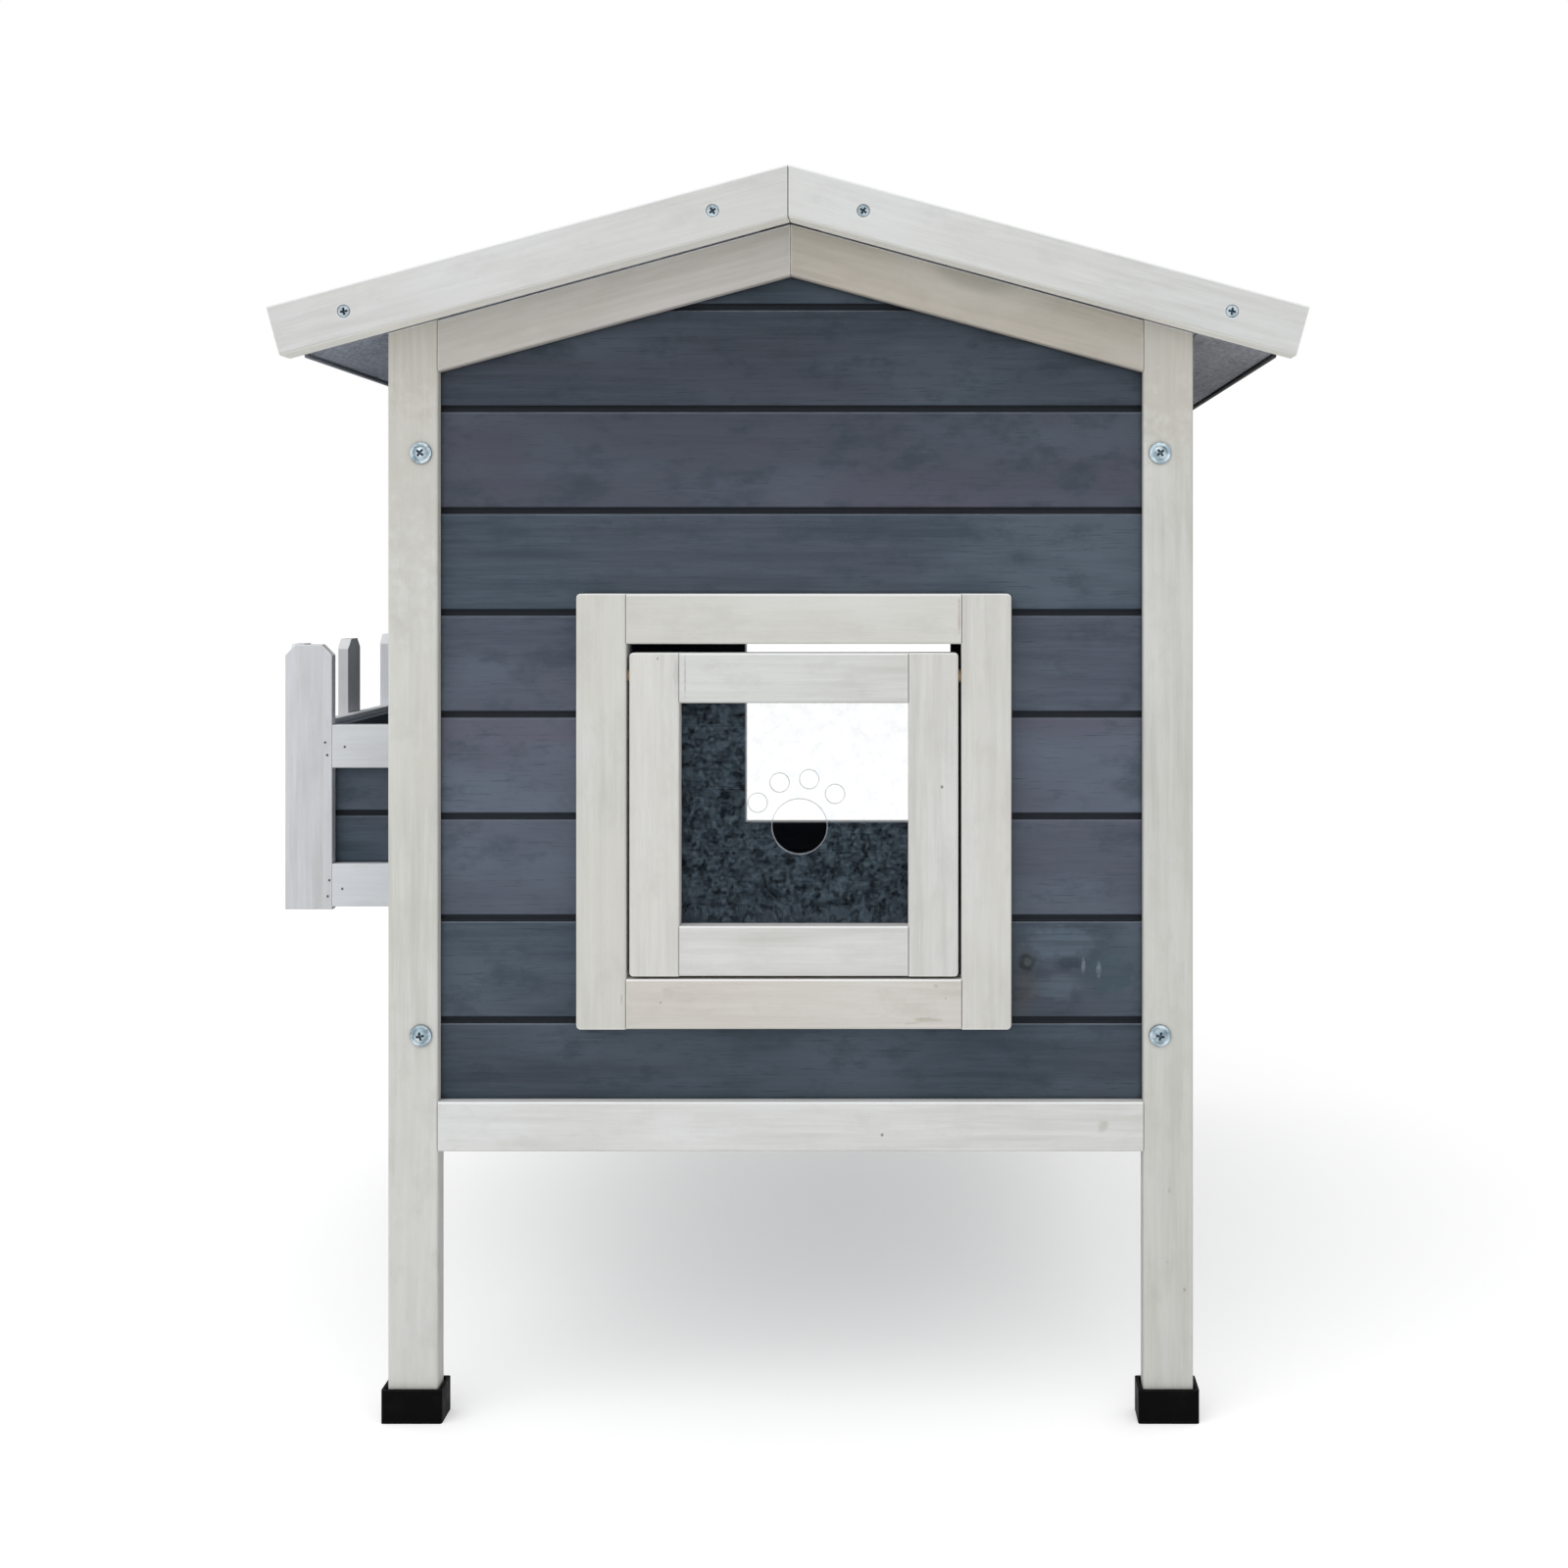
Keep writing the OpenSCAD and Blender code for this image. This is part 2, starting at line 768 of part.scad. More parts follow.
// Felt over the boards and down over the eave
module half_felt() {
    foot = -felt_drip;
    outer = eave_l + felt_t;
    intersection() {
        on_slope(roof_clear)
            translate([0, roof_len / 2, 0])
                rotate([90, 0, 0])
                    linear_extrude(roof_len)
                        difference() {
                            union() {
                                translate([-far / 4, foot])
                                    square([far / 4 + outer - felt_bend, roof_stack - foot]);
                                translate([0, foot])
                                    square([outer, roof_stack - foot - felt_bend]);
                                translate([outer - felt_bend, roof_stack - felt_bend])
                                    circle(felt_bend);
                            }
                            translate([-far / 2, foot - cut])
                                square([far / 2 + eave_l, roof_stack - felt_t - foot + cut]);
                        }
        right_of_ridge();
    }
}

// Front bargeboard of the right half, plumb-cut at the ridge
module half_bargeboard() {
    y = roof_len / 2;
    intersection() {
        on_slope(roof_clear)
            difference() {
                translate([-barge_w, -y - barge_t, 0])
                    strip_x([barge_w + barge_l, barge_t, barge_w]);
                for (x = csk_places)
                    translate([x, -y - barge_t, csk_z])
                        rotate([-90, 0, 0]) {
                            translate([0, 0, csk_sink])
                                cylinder(
                                    h = csk_h,
                                    d1 = csk_d + 2 * glue_line,
                                    d2 = csk_shank_d + 2 * glue_line
                                );
                            translate([0, 0, -cut])
                                cylinder(h = cut + csk_sink, d = csk_d + 2 * glue_line);
                            cylinder(h = barge_t + cut, d = csk_shank_d + 2 * glue_line);
                        }
            }
        right_of_ridge();
    }
}

// The four bargeboard screws of the right half
module half_screws() {
    for (end = [0, 1], i = [0, 1])
        mirror([0, end, 0])
            on_slope(roof_clear)
                translate([csk_places[i], -roof_len / 2 - barge_t, csk_z])
                    csk_screw(20 + 65 * i);
}

// One knuckle of a hinge at place i, bored to the given diameter
module knuckle(i, bore_d) {
    difference() {
        union() {
            rotate([-90, 0, 0]) cylinder(h = knuckle_l, r = knuckle_r);
            translate([0, 0, -knuckle_r - hinge_lift])
                cube([knuckle_r + knuckle_gap + 1, knuckle_l, hinge_leaf_t + hinge_lift]);
        }
        if (bore_d > 0)
            translate([0, -cut, 0])
                rotate([-90, 0, 0])
                    cylinder(h = knuckle_l + 2 * cut, d = bore_d);
    }
}

// Right-hand leaf of one hinge with its knuckles at the places given
module hinge_leaf(places, bore_d) {
    foot = knuckle_r + knuckle_gap;
    translate([0, 0, hinge_z])
        rotate([0, roof_pitch, 0]) {
            translate([foot, 0, -knuckle_r - hinge_lift])
                cube([hinge_leaf_w - foot, hinge_l, hinge_leaf_t]);
            for (i = places)
                translate([0, i * (knuckle_l + knuckle_gap), 0])
                    knuckle(i, bore_d);
        }
}

// Puts a hinge at each end of the ridge
module at_hinges() {
    for (y = [-house_d / 2 + hinge_inset, house_d / 2 - hinge_inset - hinge_l])
        house() translate([0, y, 0]) children();
}

// Picket with cut upper corners, lying in the plane of x and z
module picket(w = slat_w) {
    intersection() {
        strip_slat([w, slat_t, picket_h]);
        translate([0, slat_t + cut, 0])
            rotate([90, 0, 0])
                linear_extrude(slat_t + 2 * cut)
                    polygon([
                        [0, 0], [w, 0], [w, picket_h - picket_ear],
                        [w - picket_ear, picket_h], [picket_ear, picket_h],
                        [0, picket_h - picket_ear]
                    ]);
    }
}

// Upright slat with lightly eased edges
module strip_slat(size) linear_extrude(size.z) eased(size.x, size.y, easing / 2);

// Slat lying along x with lightly eased edges
module lying_slat(size) {
    rotate([90, 0, 90])
        linear_extrude(size.x)
            eased(size.y, size.z, easing / 2);
}

// The balcony's pieces are given for its left side, with x = 0 at the ridge
module both_ends() for (end = [0, 1]) mirror([0, end, 0]) children();

// Pickets along the balcony's front and one at each outer corner
module balcony_picket_set() {
    for (i = [0 : picket_count - 1])
        translate([-balcony_x, -fence_l / 2 + slat_w + i * picket_pitch, balcony_z - picket_drop])
            rotate([0, 0, -90])
                picket();
    both_ends()
        translate([-balcony_x, -side_y, balcony_z - picket_drop])
            picket(corner_picket_w);
}

// Upper and lower rails of the balcony's front and sides
module balcony_rail_set() {
    for (z = [balcony_z, balcony_z + balcony_rail_top - slat_w]) {
        translate([-balcony_x + 2 * slat_t, -fence_l / 2, z])
            rotate([0, 0, 90])
                lying_slat([fence_l, slat_t, slat_w]);
        both_ends()
            translate([-balcony_x + corner_picket_w, -side_y, z])
                lying_slat([balcony_x - corner_picket_w - balcony_back, slat_t, slat_w]);
    }
}

// Boards inside the rails, two high, round the three open sides
module balcony_boarding() {
    side_boards_x = balcony_inner_x - hairline;
    for (i = [0, 1])
        intersection() {
            translate([0, 0, balcony_boards_z + i * balcony_board_cover]) {
                translate([-balcony_x + 2 * slat_t, 0, 0])
                    rotate([0, 0, -90])
                        board(fence_l, balcony_board_cover, slat_t);
                both_ends()
                    translate([-(side_boards_x + balcony_back) / 2, -side_y + slat_t, 0])
                        board(side_boards_x - balcony_back, balcony_board_cover, slat_t);
            }
            translate([-far, -far / 2, balcony_boards_z])
                cube([far, far, 2 * balcony_board_cover - board_gap]);
        }
}

// Places of the four upright battens, as lower corners
function balcony_corners() = [
    for (x = [-balcony_inner_x, -balcony_back - balcony_batten])
        for (y = [-side_y + 2 * slat_t, side_y - 2 * slat_t - balcony_batten]) [x, y]
];

// Two bearers under the balcony's floor and the four uprights that stand on it
module balcony_batten_set() {
    top = balcony_boards_z + 2 * balcony_board_cover - board_gap;
    foot = balcony_boards_z + balcony_batten + hairline;
    both_ends()
        translate([-balcony_inner_x, -side_y + 2 * slat_t, balcony_boards_z])
            strip_x([balcony_inner_x - balcony_back, balcony_batten, balcony_batten]);
    for (place = balcony_corners())
        translate([place.x, place.y, foot])
            strip_z([balcony_batten, balcony_batten, top - foot]);
}

// The balcony's floor, notched round the uprights
module balcony_flooring() {
    inner_l = balcony_l - 4 * slat_t - 2 * seat_clear;
    width = balcony_inner_x - balcony_back - 2 * seat_clear;
    difference() {
        translate([-balcony_inner_x + seat_clear, -inner_l / 2, balcony_floor_z - slat_t])
            cube([width, inner_l, slat_t]);
        for (place = balcony_corners())
            translate([
                place.x - seat_clear, place.y - seat_clear, balcony_floor_z - slat_t - cut
            ])
                cube([
                    balcony_batten + 2 * seat_clear, balcony_batten + 2 * seat_clear,
                    slat_t + 2 * cut
                ]);
        translate([-balcony_x + balcony_out / 2, -balcony_l, balcony_floor_z - board_gap / 2])
            cube([board_gap, 2 * balcony_l, board_gap]);
    }
}

// Foot cap, open at the top, round a leg
module foot_cap() {
    in_w = strip_w + 2 * foot_gap;
    in_t = strip_t + 2 * foot_gap;
    translate([post_in - foot_gap - foot_wall, -foot_gap - foot_wall, 0])
        difference() {
            linear_extrude(foot_h)
                eased(in_w + 2 * foot_wall, in_t + 2 * foot_wall, easing);
            translate([foot_wall, foot_wall, foot_wall])
                cube([in_w, in_t, foot_h]);
        }
}

module front_left_post() color(white_wash) gable(false) on_side(-1) gable_post();
module front_right_post() color(white_wash) gable(false) gable_post();
module front_left_gable_rail() color(white_wash) gable(false) on_side(-1) gable_rail();
module front_right_gable_rail() color(white_wash) gable(false) gable_rail();
module front_bottom_rail() color(white_wash) gable(false) gable_bottom_rail();
module front_boards() color(slate_stain) gable(false) gable_boards();
module front_trim_left_stile() {
    color(white_wash) gable(false) at_door() on_side(-1) trim_stile(true);
}
module front_trim_right_stile() color(white_wash) gable(false) at_door() trim_stile(true);
module front_trim_top_rail() color(white_wash) gable(false) at_door() trim_rail(door_z + door_h);
module front_trim_bottom_rail() color(white_wash) gable(false) at_door() trim_rail(door_z - trim_w);

module flap_left_stile() color(white_wash) gable(false) at_door() on_side(-1) flap_stile();
module flap_right_stile() color(white_wash) gable(false) at_door() flap_stile();
module flap_top_rail() {
    color(white_wash) gable(false) at_door() flap_rail(flap_z + flap_h - flap_rail_w);
}
module flap_bottom_rail() color(white_wash) gable(false) at_door() flap_rail(flap_z);
module flap_pane() color(clear_sheet) gable(false) at_door() flap_pane_sheet();
module flap_pivot_dowels() {
    color(dowel_wood)
        gable(false)
            at_door()
                for (side = [-1, 1]) on_side(side) flap_dowel();
}

module back_left_post() color(white_wash) gable(true) on_side(-1) gable_post();
module back_right_post() color(white_wash) gable(true) gable_post();
module back_left_gable_rail() color(white_wash) gable(true) on_side(-1) gable_rail();
module back_right_gable_rail() color(white_wash) gable(true) gable_rail();
module back_bottom_rail() color(white_wash) gable(true) gable_bottom_rail();
module back_boards() color(slate_stain) gable(true) gable_boards();
module back_trim_left_stile() color(white_wash) gable(true) at_door() on_side(-1) trim_stile();
module back_trim_right_stile() color(white_wash) gable(true) at_door() trim_stile();
module back_trim_top_rail() color(white_wash) gable(true) at_door() trim_rail(door_z + door_h);
module back_trim_bottom_rail() color(white_wash) gable(true) at_door() trim_rail(door_z - trim_w);

module left_wall_front_stile() color(white_wash) wall(-1) wall_stile(1);
module left_wall_back_stile() color(white_wash) wall(-1) wall_stile(-1);
module left_wall_top_rail() color(white_wash) wall(-1) wall_top_rail();
module left_wall_bottom_rail() color(white_wash) wall(-1) wall_bottom_rail();
module left_wall_boards() color(slate_stain) wall(-1) wall_boards(true);
module balcony_doorway_trim() {
    color(white_wash) at_balcony() wall(-1) balcony_door_trim();
}
module right_wall_front_stile() color(white_wash) wall(1) wall_stile(-1);
module right_wall_back_stile() color(white_wash) wall(1) wall_stile(1);
module right_wall_top_rail() color(white_wash) wall(1) wall_top_rail();
module right_wall_bottom_rail() color(white_wash) wall(1) wall_bottom_rail();
module right_wall_boards() color(slate_stain) wall(1) wall_boards(false);
module floor_boards() color(slate_stain) house() floor_boarding();
module floor_bearers() color(grey_timber) house() bearers();

module lid_battens() color(grey_timber) house() on_side(-1) on_slope(roof_clear) half_battens();
module lid_boards() color(grey_timber) house() on_side(-1) half_boards();
module lid_felt() color(felt_black) house() on_side(-1) half_felt();
module lid_front_bargeboard() color(white_wash) house() on_side(-1) half_bargeboard();
module lid_back_bargeboard() {
    color(white_wash) house() on_side(-1) mirror([0, 1, 0]) half_bargeboard();
}
module lid_bargeboard_screws() color(zinc) house() on_side(-1) half_screws();
module roof_battens() color(grey_timber) house() on_slope(roof_clear) half_battens();
module roof_boards() color(grey_timber) house() half_boards();
module roof_felt() color(felt_black) house() half_felt();
module roof_front_bargeboard() color(white_wash) house() half_bargeboard();
module roof_back_bargeboard() color(white_wash) house() mirror([0, 1, 0]) half_bargeboard();
module roof_bargeboard_screws() color(zinc) house() half_screws();

// Right leaves with three knuckles each, and the pins they hold
module hinge_fixed_leaves() {
    color(zinc)
        at_hinges() {
            hinge_leaf([0, 2, 4], 0);
            translate([0, 0, hinge_z])
                rotate([-90, 0, 0])
                    cylinder(h = hinge_l, d = hinge_pin_d);
        }
}

// Left leaves with two knuckles each, turning on the pins
module hinge_moving_leaves() {
    color(zinc)
        at_hinges()
            on_side(-1)
                hinge_leaf([1, 3], hinge_pin_d + 2 * hinge_run_clear);
}

module balcony_pickets() color(white_wash) at_balcony() house() balcony_picket_set();
module balcony_rails() color(white_wash) at_balcony() house() balcony_rail_set();
module balcony_boards() color(slate_stain) at_balcony() house() balcony_boarding();
module balcony_floor() color(slate_stain) at_balcony() house() balcony_flooring();
module balcony_battens() color(white_wash) at_balcony() house() balcony_batten_set();

module foot_caps() {
    color(plastic_black)
        for (back = [false, true], side = [-1, 1])
            gable(back) on_side(side) foot_cap();
}

module frame_screws() {
    color(zinc)
        for (back = [false, true], side = [-1, 1], i = [0, 1])
            gable(back)
                on_side(side)
                    translate([wall_mid_x, 0, leg_h + [low_screw, high_screw][i]])
                        frame_screw(12 + 40 * i);
}

front_left_post();
front_right_post();
front_left_gable_rail();
front_right_gable_rail();
front_bottom_rail();
front_boards();
front_trim_left_stile();
front_trim_right_stile();
front_trim_top_rail();
front_trim_bottom_rail();
flap_left_stile();
flap_right_stile();
flap_top_rail();
flap_bottom_rail();
flap_pane();
flap_pivot_dowels();
back_left_post();
back_right_post();
back_left_gable_rail();
back_right_gable_rail();
back_bottom_rail();
back_boards();
back_trim_left_stile();
back_trim_right_stile();
back_trim_top_rail();
back_trim_bottom_rail();
left_wall_front_stile();
left_wall_back_stile();
left_wall_top_rail();
left_wall_bottom_rail();
left_wall_boards();
balcony_doorway_trim();
right_wall_front_stile();
right_wall_back_stile();
right_wall_top_rail();
right_wall_bottom_rail();
right_wall_boards();
floor_boards();
floor_bearers();
lid_battens();
lid_boards();
lid_felt();
lid_front_bargeboard();
lid_back_bargeboard();
lid_bargeboard_screws();
roof_battens();
roof_boards();
roof_felt();
roof_front_bargeboard();
roof_back_bargeboard();
roof_bargeboard_screws();
hinge_fixed_leaves();
hinge_moving_leaves();
balcony_pickets();
balcony_rails();
balcony_boards();
balcony_floor();
balcony_battens();
foot_caps();
frame_screws();
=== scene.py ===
"""Dresses the elevated cat house: stained and washed timber, felt, pane, metal and small nails."""

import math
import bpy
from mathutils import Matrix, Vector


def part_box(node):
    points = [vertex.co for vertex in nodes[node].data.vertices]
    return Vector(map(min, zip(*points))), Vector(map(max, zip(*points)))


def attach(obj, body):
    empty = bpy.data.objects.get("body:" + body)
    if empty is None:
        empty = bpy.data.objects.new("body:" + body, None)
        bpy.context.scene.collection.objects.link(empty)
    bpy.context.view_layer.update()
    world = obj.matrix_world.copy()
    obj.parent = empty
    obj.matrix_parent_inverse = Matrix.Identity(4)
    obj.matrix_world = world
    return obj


bl_info = {
    "name": "Elevated Cat House",
    "version": (1, 0, 0),
    "blender": (4, 5, 0),
    "location": "View3D > Sidebar > Cat House",
    "description": "Finishes, small fastenings and a plain studio for a timber cat house",
    "category": "Object",
}

from collections import namedtuple

import bmesh
import bpy
from bpy.props import (
    FloatProperty, FloatVectorProperty, IntProperty, PointerProperty, StringProperty,
)
from mathutils import Matrix, Vector

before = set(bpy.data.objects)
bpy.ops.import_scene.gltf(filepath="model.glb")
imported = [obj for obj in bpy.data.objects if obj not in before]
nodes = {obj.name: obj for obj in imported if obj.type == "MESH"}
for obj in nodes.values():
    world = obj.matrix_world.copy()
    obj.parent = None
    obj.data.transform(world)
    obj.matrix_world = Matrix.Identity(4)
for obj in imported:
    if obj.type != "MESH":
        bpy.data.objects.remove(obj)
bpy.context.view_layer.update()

ALONG_X = Vector((1, 0, 0))
ALONG_Y = Vector((0, 1, 0))
UPRIGHT = Vector((0, 0, 1))


def low(name):
    """Lowest corner of a node."""
    return Vector(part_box(name)[0])


def high(name):
    """Highest corner of a node."""
    return Vector(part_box(name)[1])


# Slope of the roof and the place of its ridge
ROOF_PITCH = math.radians(15.25)
RIDGE_X = (low("front_bottom_rail").x + high("front_bottom_rail").x) / 2
# Height of the cabin's lowest joint, the boards' cover and the width of a groove
FIRST_JOINT = 0.1780
BOARD_COVER = 0.0616
BALCONY_COVER = 0.0625
GROOVE = 0.0042
BOARD_THICKNESS = 0.008
# Width of a frame strip, and thickness of the balcony's slats and battens
STRIP = 0.03
SLAT = 0.0081
BATTEN = 0.01505
# How far the foot of the balcony's rails lies under its boards' first joint
RAIL_DROP = 0.002
# Boards across the floor and across one roof half
FLOOR_BOARDS = 7
ROOF_BOARDS = 5
# Half the clear width of the doorway to the balcony
DOOR_HALF = 0.0999
# Where the rafters run, counted from the ridge
RAFTERS = (0.070, 0.2445)
# From a picket's edge to its middle, and the end pickets' width together
PICKET_MIDDLE = 0.0231
END_PICKETS = 0.0462
# Depth of a small mark in the wood
SKIN = 0.004
# Length of one hinge leaf along the ridge
HINGE_LENGTH = 0.064
WHITE = (1, 1, 1)


def operator(operation, swapped=False):
    """A method that puts a Value through one math node."""
    if swapped:
        return lambda value, other: value.math(operation, other, value)
    return lambda value, *others: value.math(operation, value, *others)


class Value:
    """A shader socket that takes Python's operators."""

    def __init__(self, finish, socket):
        self.finish = finish
        self.socket = socket

    def math(self, operation, *values, clamp=False):
        settings = {"operation": operation, "use_clamp": clamp}
        return self.finish.add("ShaderNodeMath", settings, dict(enumerate(values)))["Value"]

    def clamped(self):
        return self.math("ADD", self, 0.0, clamp=True)

    __add__ = __radd__ = operator("ADD")
    __sub__ = operator("SUBTRACT")
    __rsub__ = operator("SUBTRACT", swapped=True)
    __mul__ = __rmul__ = operator("MULTIPLY")
    __truediv__ = operator("DIVIDE")
    sine = operator("SINE")
    root = operator("SQRT")
    size = operator("ABSOLUTE")
    fraction = operator("FRACT")
    over = operator("GREATER_THAN")
    under = operator("LESS_THAN")


def picked(sockets, key):
    """The socket of a number, or the enabled one of a name."""
    if isinstance(key, int):
        return sockets[key]
    return next(socket for socket in sockets if socket.name == key and socket.enabled)


class Made:
    """A node's outputs, read by name or number as Values."""

    def __init__(self, finish, node):
        self.finish = finish
        self.node = node

    def __getitem__(self, key):
        return Value(self.finish, picked(self.node.outputs, key))


class Nodes:
    """Adds nodes to the tree of a material or a world."""

    def __init__(self, owner):
        owner.use_nodes = True
        self.tree = owner.node_tree
        self.tree.nodes.clear()

    def add(self, kind, settings=None, values=None):
        """Makes a node from its settings, set first, and its sockets' values or links."""
        node = self.tree.nodes.new(kind)
        for key, setting in (settings or {}).items():
            if key == "stops":
                ramp = node.color_ramp
                while len(ramp.elements) < len(setting):
                    ramp.elements.new(0.5)
                for element, (place, colour) in zip(ramp.elements, setting):
                    element.position = place
                    element.color = (*colour, 1.0)
            else:
                setattr(node, key, setting)
        for key, value in (values or {}).items():
            socket = picked(node.inputs, key)
            if isinstance(value, Value):
                self.tree.links.new(value.socket, socket)
            elif socket.type == "RGBA":
                socket.default_value = (*value, 1.0)
            else:
                socket.default_value = value
        return Made(self, node)

    def for_eye(self):
        """1 for the rays that make the picture, 0 for those that only carry light."""
        path = self.add("ShaderNodeLightPath")
        rays = (path[f"Is {kind} Ray"] for kind in ("Camera", "Glossy", "Transmission"))
        return sum(rays, 0.0).clamped()


class Finish(Nodes):
    """Builds one material from nodes."""

    def __init__(self, name):
        self.material = bpy.data.materials.new(name)
        super().__init__(self.material)
        self.colour = WHITE

    def place(self):
        """Object coordinates."""
        return self.add("ShaderNodeTexCoord")["Object"]

    def vectors(self, operation, *values):
        settings = {"operation": operation}
        return self.add("ShaderNodeVectorMath", settings, dict(enumerate(values)))

    def dot(self, vector, direction):
        return self.vectors("DOT_PRODUCT", vector, direction)["Value"]

    def scaled(self, place, origin, sizes):
        """The way from an origin, counted in steps of the given sizes."""
        away = self.vectors("SUBTRACT", place, Vector(origin))["Vector"]
        return self.vectors("DIVIDE", away, Vector(sizes))["Vector"]

    def vector(self, x, y, z):
        return self.add("ShaderNodeCombineXYZ", None, {0: x, 1: y, 2: z})["Vector"]

    def mix(self, factor, a, b, blend="MIX"):
        """Mixes two colours."""
        settings = {"data_type": "RGBA", "blend_type": blend, "clamp_factor": True}
        return self.add("ShaderNodeMix", settings, {"Factor": factor, "A": a, "B": b})["Result"]

    def coat(self, share, colour, blend="MIX"):
        """Lays a colour over the ones before it."""
        self.colour = self.mix(share, self.colour, colour, blend)

    def noise(self, vector, scale, detail=3.0, rough=0.55, distortion=0.0):
        return self.add("ShaderNodeTexNoise", None, {
            "Vector": vector, "Scale": scale, "Detail": detail, "Roughness": rough,
            "Distortion": distortion,
        })[0]

    def cells(self, vector, scale):
        """Irregular cells: the distance from each one's middle, and its own random number."""
        made = self.add("ShaderNodeTexVoronoi", None, {"Vector": vector, "Scale": scale})
        return made["Distance"], self.add("ShaderNodeSeparateColor", None, {0: made["Color"]})[0]

    def spread(self, value, from_low, from_high, to_low=0.0, to_high=1.0):
        """Maps a range of values smoothly to another."""
        return self.add("ShaderNodeMapRange", {"interpolation_type": "SMOOTHSTEP"}, {
            "Value": value, "From Min": from_low, "From Max": from_high,
            "To Min": to_low, "To Max": to_high,
        })["Result"]

    def bump(self, height, distance, strength):
        return self.add("ShaderNodeBump", None, {
            "Height": height, "Distance": distance, "Strength": strength,
        })["Normal"]

    def rounded(self, radius):
        """The normal that the surface would have with its edges rounded."""
        return self.add("ShaderNodeBevel", {"samples": 6}, {"Radius": radius})["Normal"]

    def edge(self, rounded):
        """1 on convex and concave edges, 0 on flat faces."""
        flat = self.add("ShaderNodeNewGeometry")["Normal"]
        return self.spread(self.dot(rounded, flat), 0.995, 0.80)

    def upper_edge(self, rounded):
        """1 on edges that look up, 0 on flat faces and other edges."""
        rise = self.dot(rounded, UPRIGHT)
        return self.spread(rise, 0.20, 0.50) * self.spread(rise, 0.96, 0.80)

    def crevice(self, reach, shallow=0.78, deep=0.36):
        """1 deep in joints and inner corners, 0 on open faces."""
        sky = self.add("ShaderNodeAmbientOcclusion", {"samples": 6}, {"Distance": reach})["AO"]
        return self.spread(sky, shallow, deep)

    def done(self, **values):
        """Ends the material in a Principled shader under its coats."""
        values = {key.replace("_", " "): value for key, value in values.items()}
        shader = self.add("ShaderNodeBsdfPrincipled", None, {"Base Color": self.colour, **values})
        self.add("ShaderNodeOutputMaterial", None, {"Surface": shader["BSDF"]})
        return self.material


def tinted(colour, tint):
    """A look's colour with one member's own tint."""
    return [min(1.0, c * t) for c, t in zip(colour, tint)]


# How a pattern repeats over a metre along and across the grain, its detail and roughness,
# and the values of its noise between which it sets in
Pattern = namedtuple("Pattern", "along across detail rough start full", defaults=(0, 1))
PITH = Pattern(0.6, 0.1, 1.0, 0.55)
WANDER = Pattern(2.2, 8.0, 2.0, 0.55)
STREAKS = Pattern(14.0, 330.0, 4.0, 0.65, 0.30, 0.72)
PORES = Pattern(45.0, 1200.0, 2.0, 0.60, 0.58, 0.74)
MOTTLE = Pattern(30.0, 55.0, 5.0, 0.68, 0.48, 0.70)
CLOUDS = Pattern(5.0, 14.0, 3.0, 0.60, 0.42, 0.66)
THIN_COAT = Pattern(4.0, 11.0, 3.0, 0.60, 0.42, 0.62)
# Knots over a metre along and across the grain, and the reach of a knot and its halo
KNOTS_ALONG = 3.3
KNOTS_ACROSS = 9.0
KNOT_REACH = (0.13, 0.07)
HALO_REACH = (0.24, 0.12)
# How strongly each board of a wall, and each spot on it, leans to the warm stain
BOARD_LEAN = 0.75
SPOT_LEAN = 0.4
# Level of the painted shade far from the band's middle, and of the painted light in it
PAINTED_LIGHT_LEVELS = (0.70, 1.22)
# Width of the painted highlight on the lip over a groove, and the strength of this highlight, of
# the painted shade in a groove and of the painted shade on the boards' inner side
LIP_WIDTH = 0.0006
LIP_HIGHLIGHT_SHARE = 0.7
GROOVE_SHADE_SHARE = 0.72
INSIDE_SHADE_SHARE = 0.62
# Painted light on a bargeboard's lower edge: its colour, its strength and its depth
LIT_UNDERSIDE = (0.93, 0.92, 0.86)
LIT_SHARE = 0.85
LIT_DEPTH = 0.0004


def grain_frame(finish, place, along):
    """Coordinates that run along the grain and across it."""
    side = ALONG_Y if abs(along.y) < 0.5 else ALONG_X
    return [finish.dot(place, direction) for direction in (along, side, along.cross(side))]


def grain_coordinates(finish, place, along, seed, second, cell):
    """Coordinates in a member's own piece of wood, and each board's own random number."""
    grain = grain_frame(finish, place, along)
    if second:
        other, where = second
        mask = where(finish, place)
        grain = [a + mask * (b - a) for a, b in zip(grain, grain_frame(finish, place, other))]
    tone = None
    if cell:
        sizes, origin = cell
        board = finish.vectors("FLOOR", finish.scaled(place, origin, sizes))["Vector"]
        tone = finish.add("ShaderNodeTexWhiteNoise", None, {"Vector": board})[0]
        grain = [a + tone * shift for a, shift in zip(grain, (7.0, 0.31, 0.17))]
    shifts = (seed * 1.37, (seed * 0.613) % 1.0, (seed * 0.287) % 1.0)
    return [a + shift for a, shift in zip(grain, shifts)], tone


def stretched(finish, grain, along, across):
    """The grain's coordinates with a scale along the grain and one across it."""
    u, v, w = grain
    return finish.vector(u * along, v * across, w * across)


def grain_noise(finish, grain, pattern):
    """The noise of one pattern in the wood."""
    wood = stretched(finish, grain, pattern.along, pattern.across)
    return finish.noise(wood, 1.0, pattern.detail, pattern.rough)


def set_in(finish, value, pattern, share=1.0):
    """How far a pattern has set in."""
    return finish.spread(value, pattern.start, pattern.full, 0.0, share)


def growth_rings(finish, grain, wander, count):
    """Dark rings round a pith that wanders along the member."""
    pith = finish.spread(grain_noise(finish, grain, PITH), 0, 1, -0.04, 0.04)
    across = grain[1] - pith
    radius = (across * across * 9.0 + grain[2] * grain[2] * 3.0).root()
    rings = radius * count + wander * 22.0
    return 1.0 - finish.spread(rings.sine(), 0.1, 1.0)


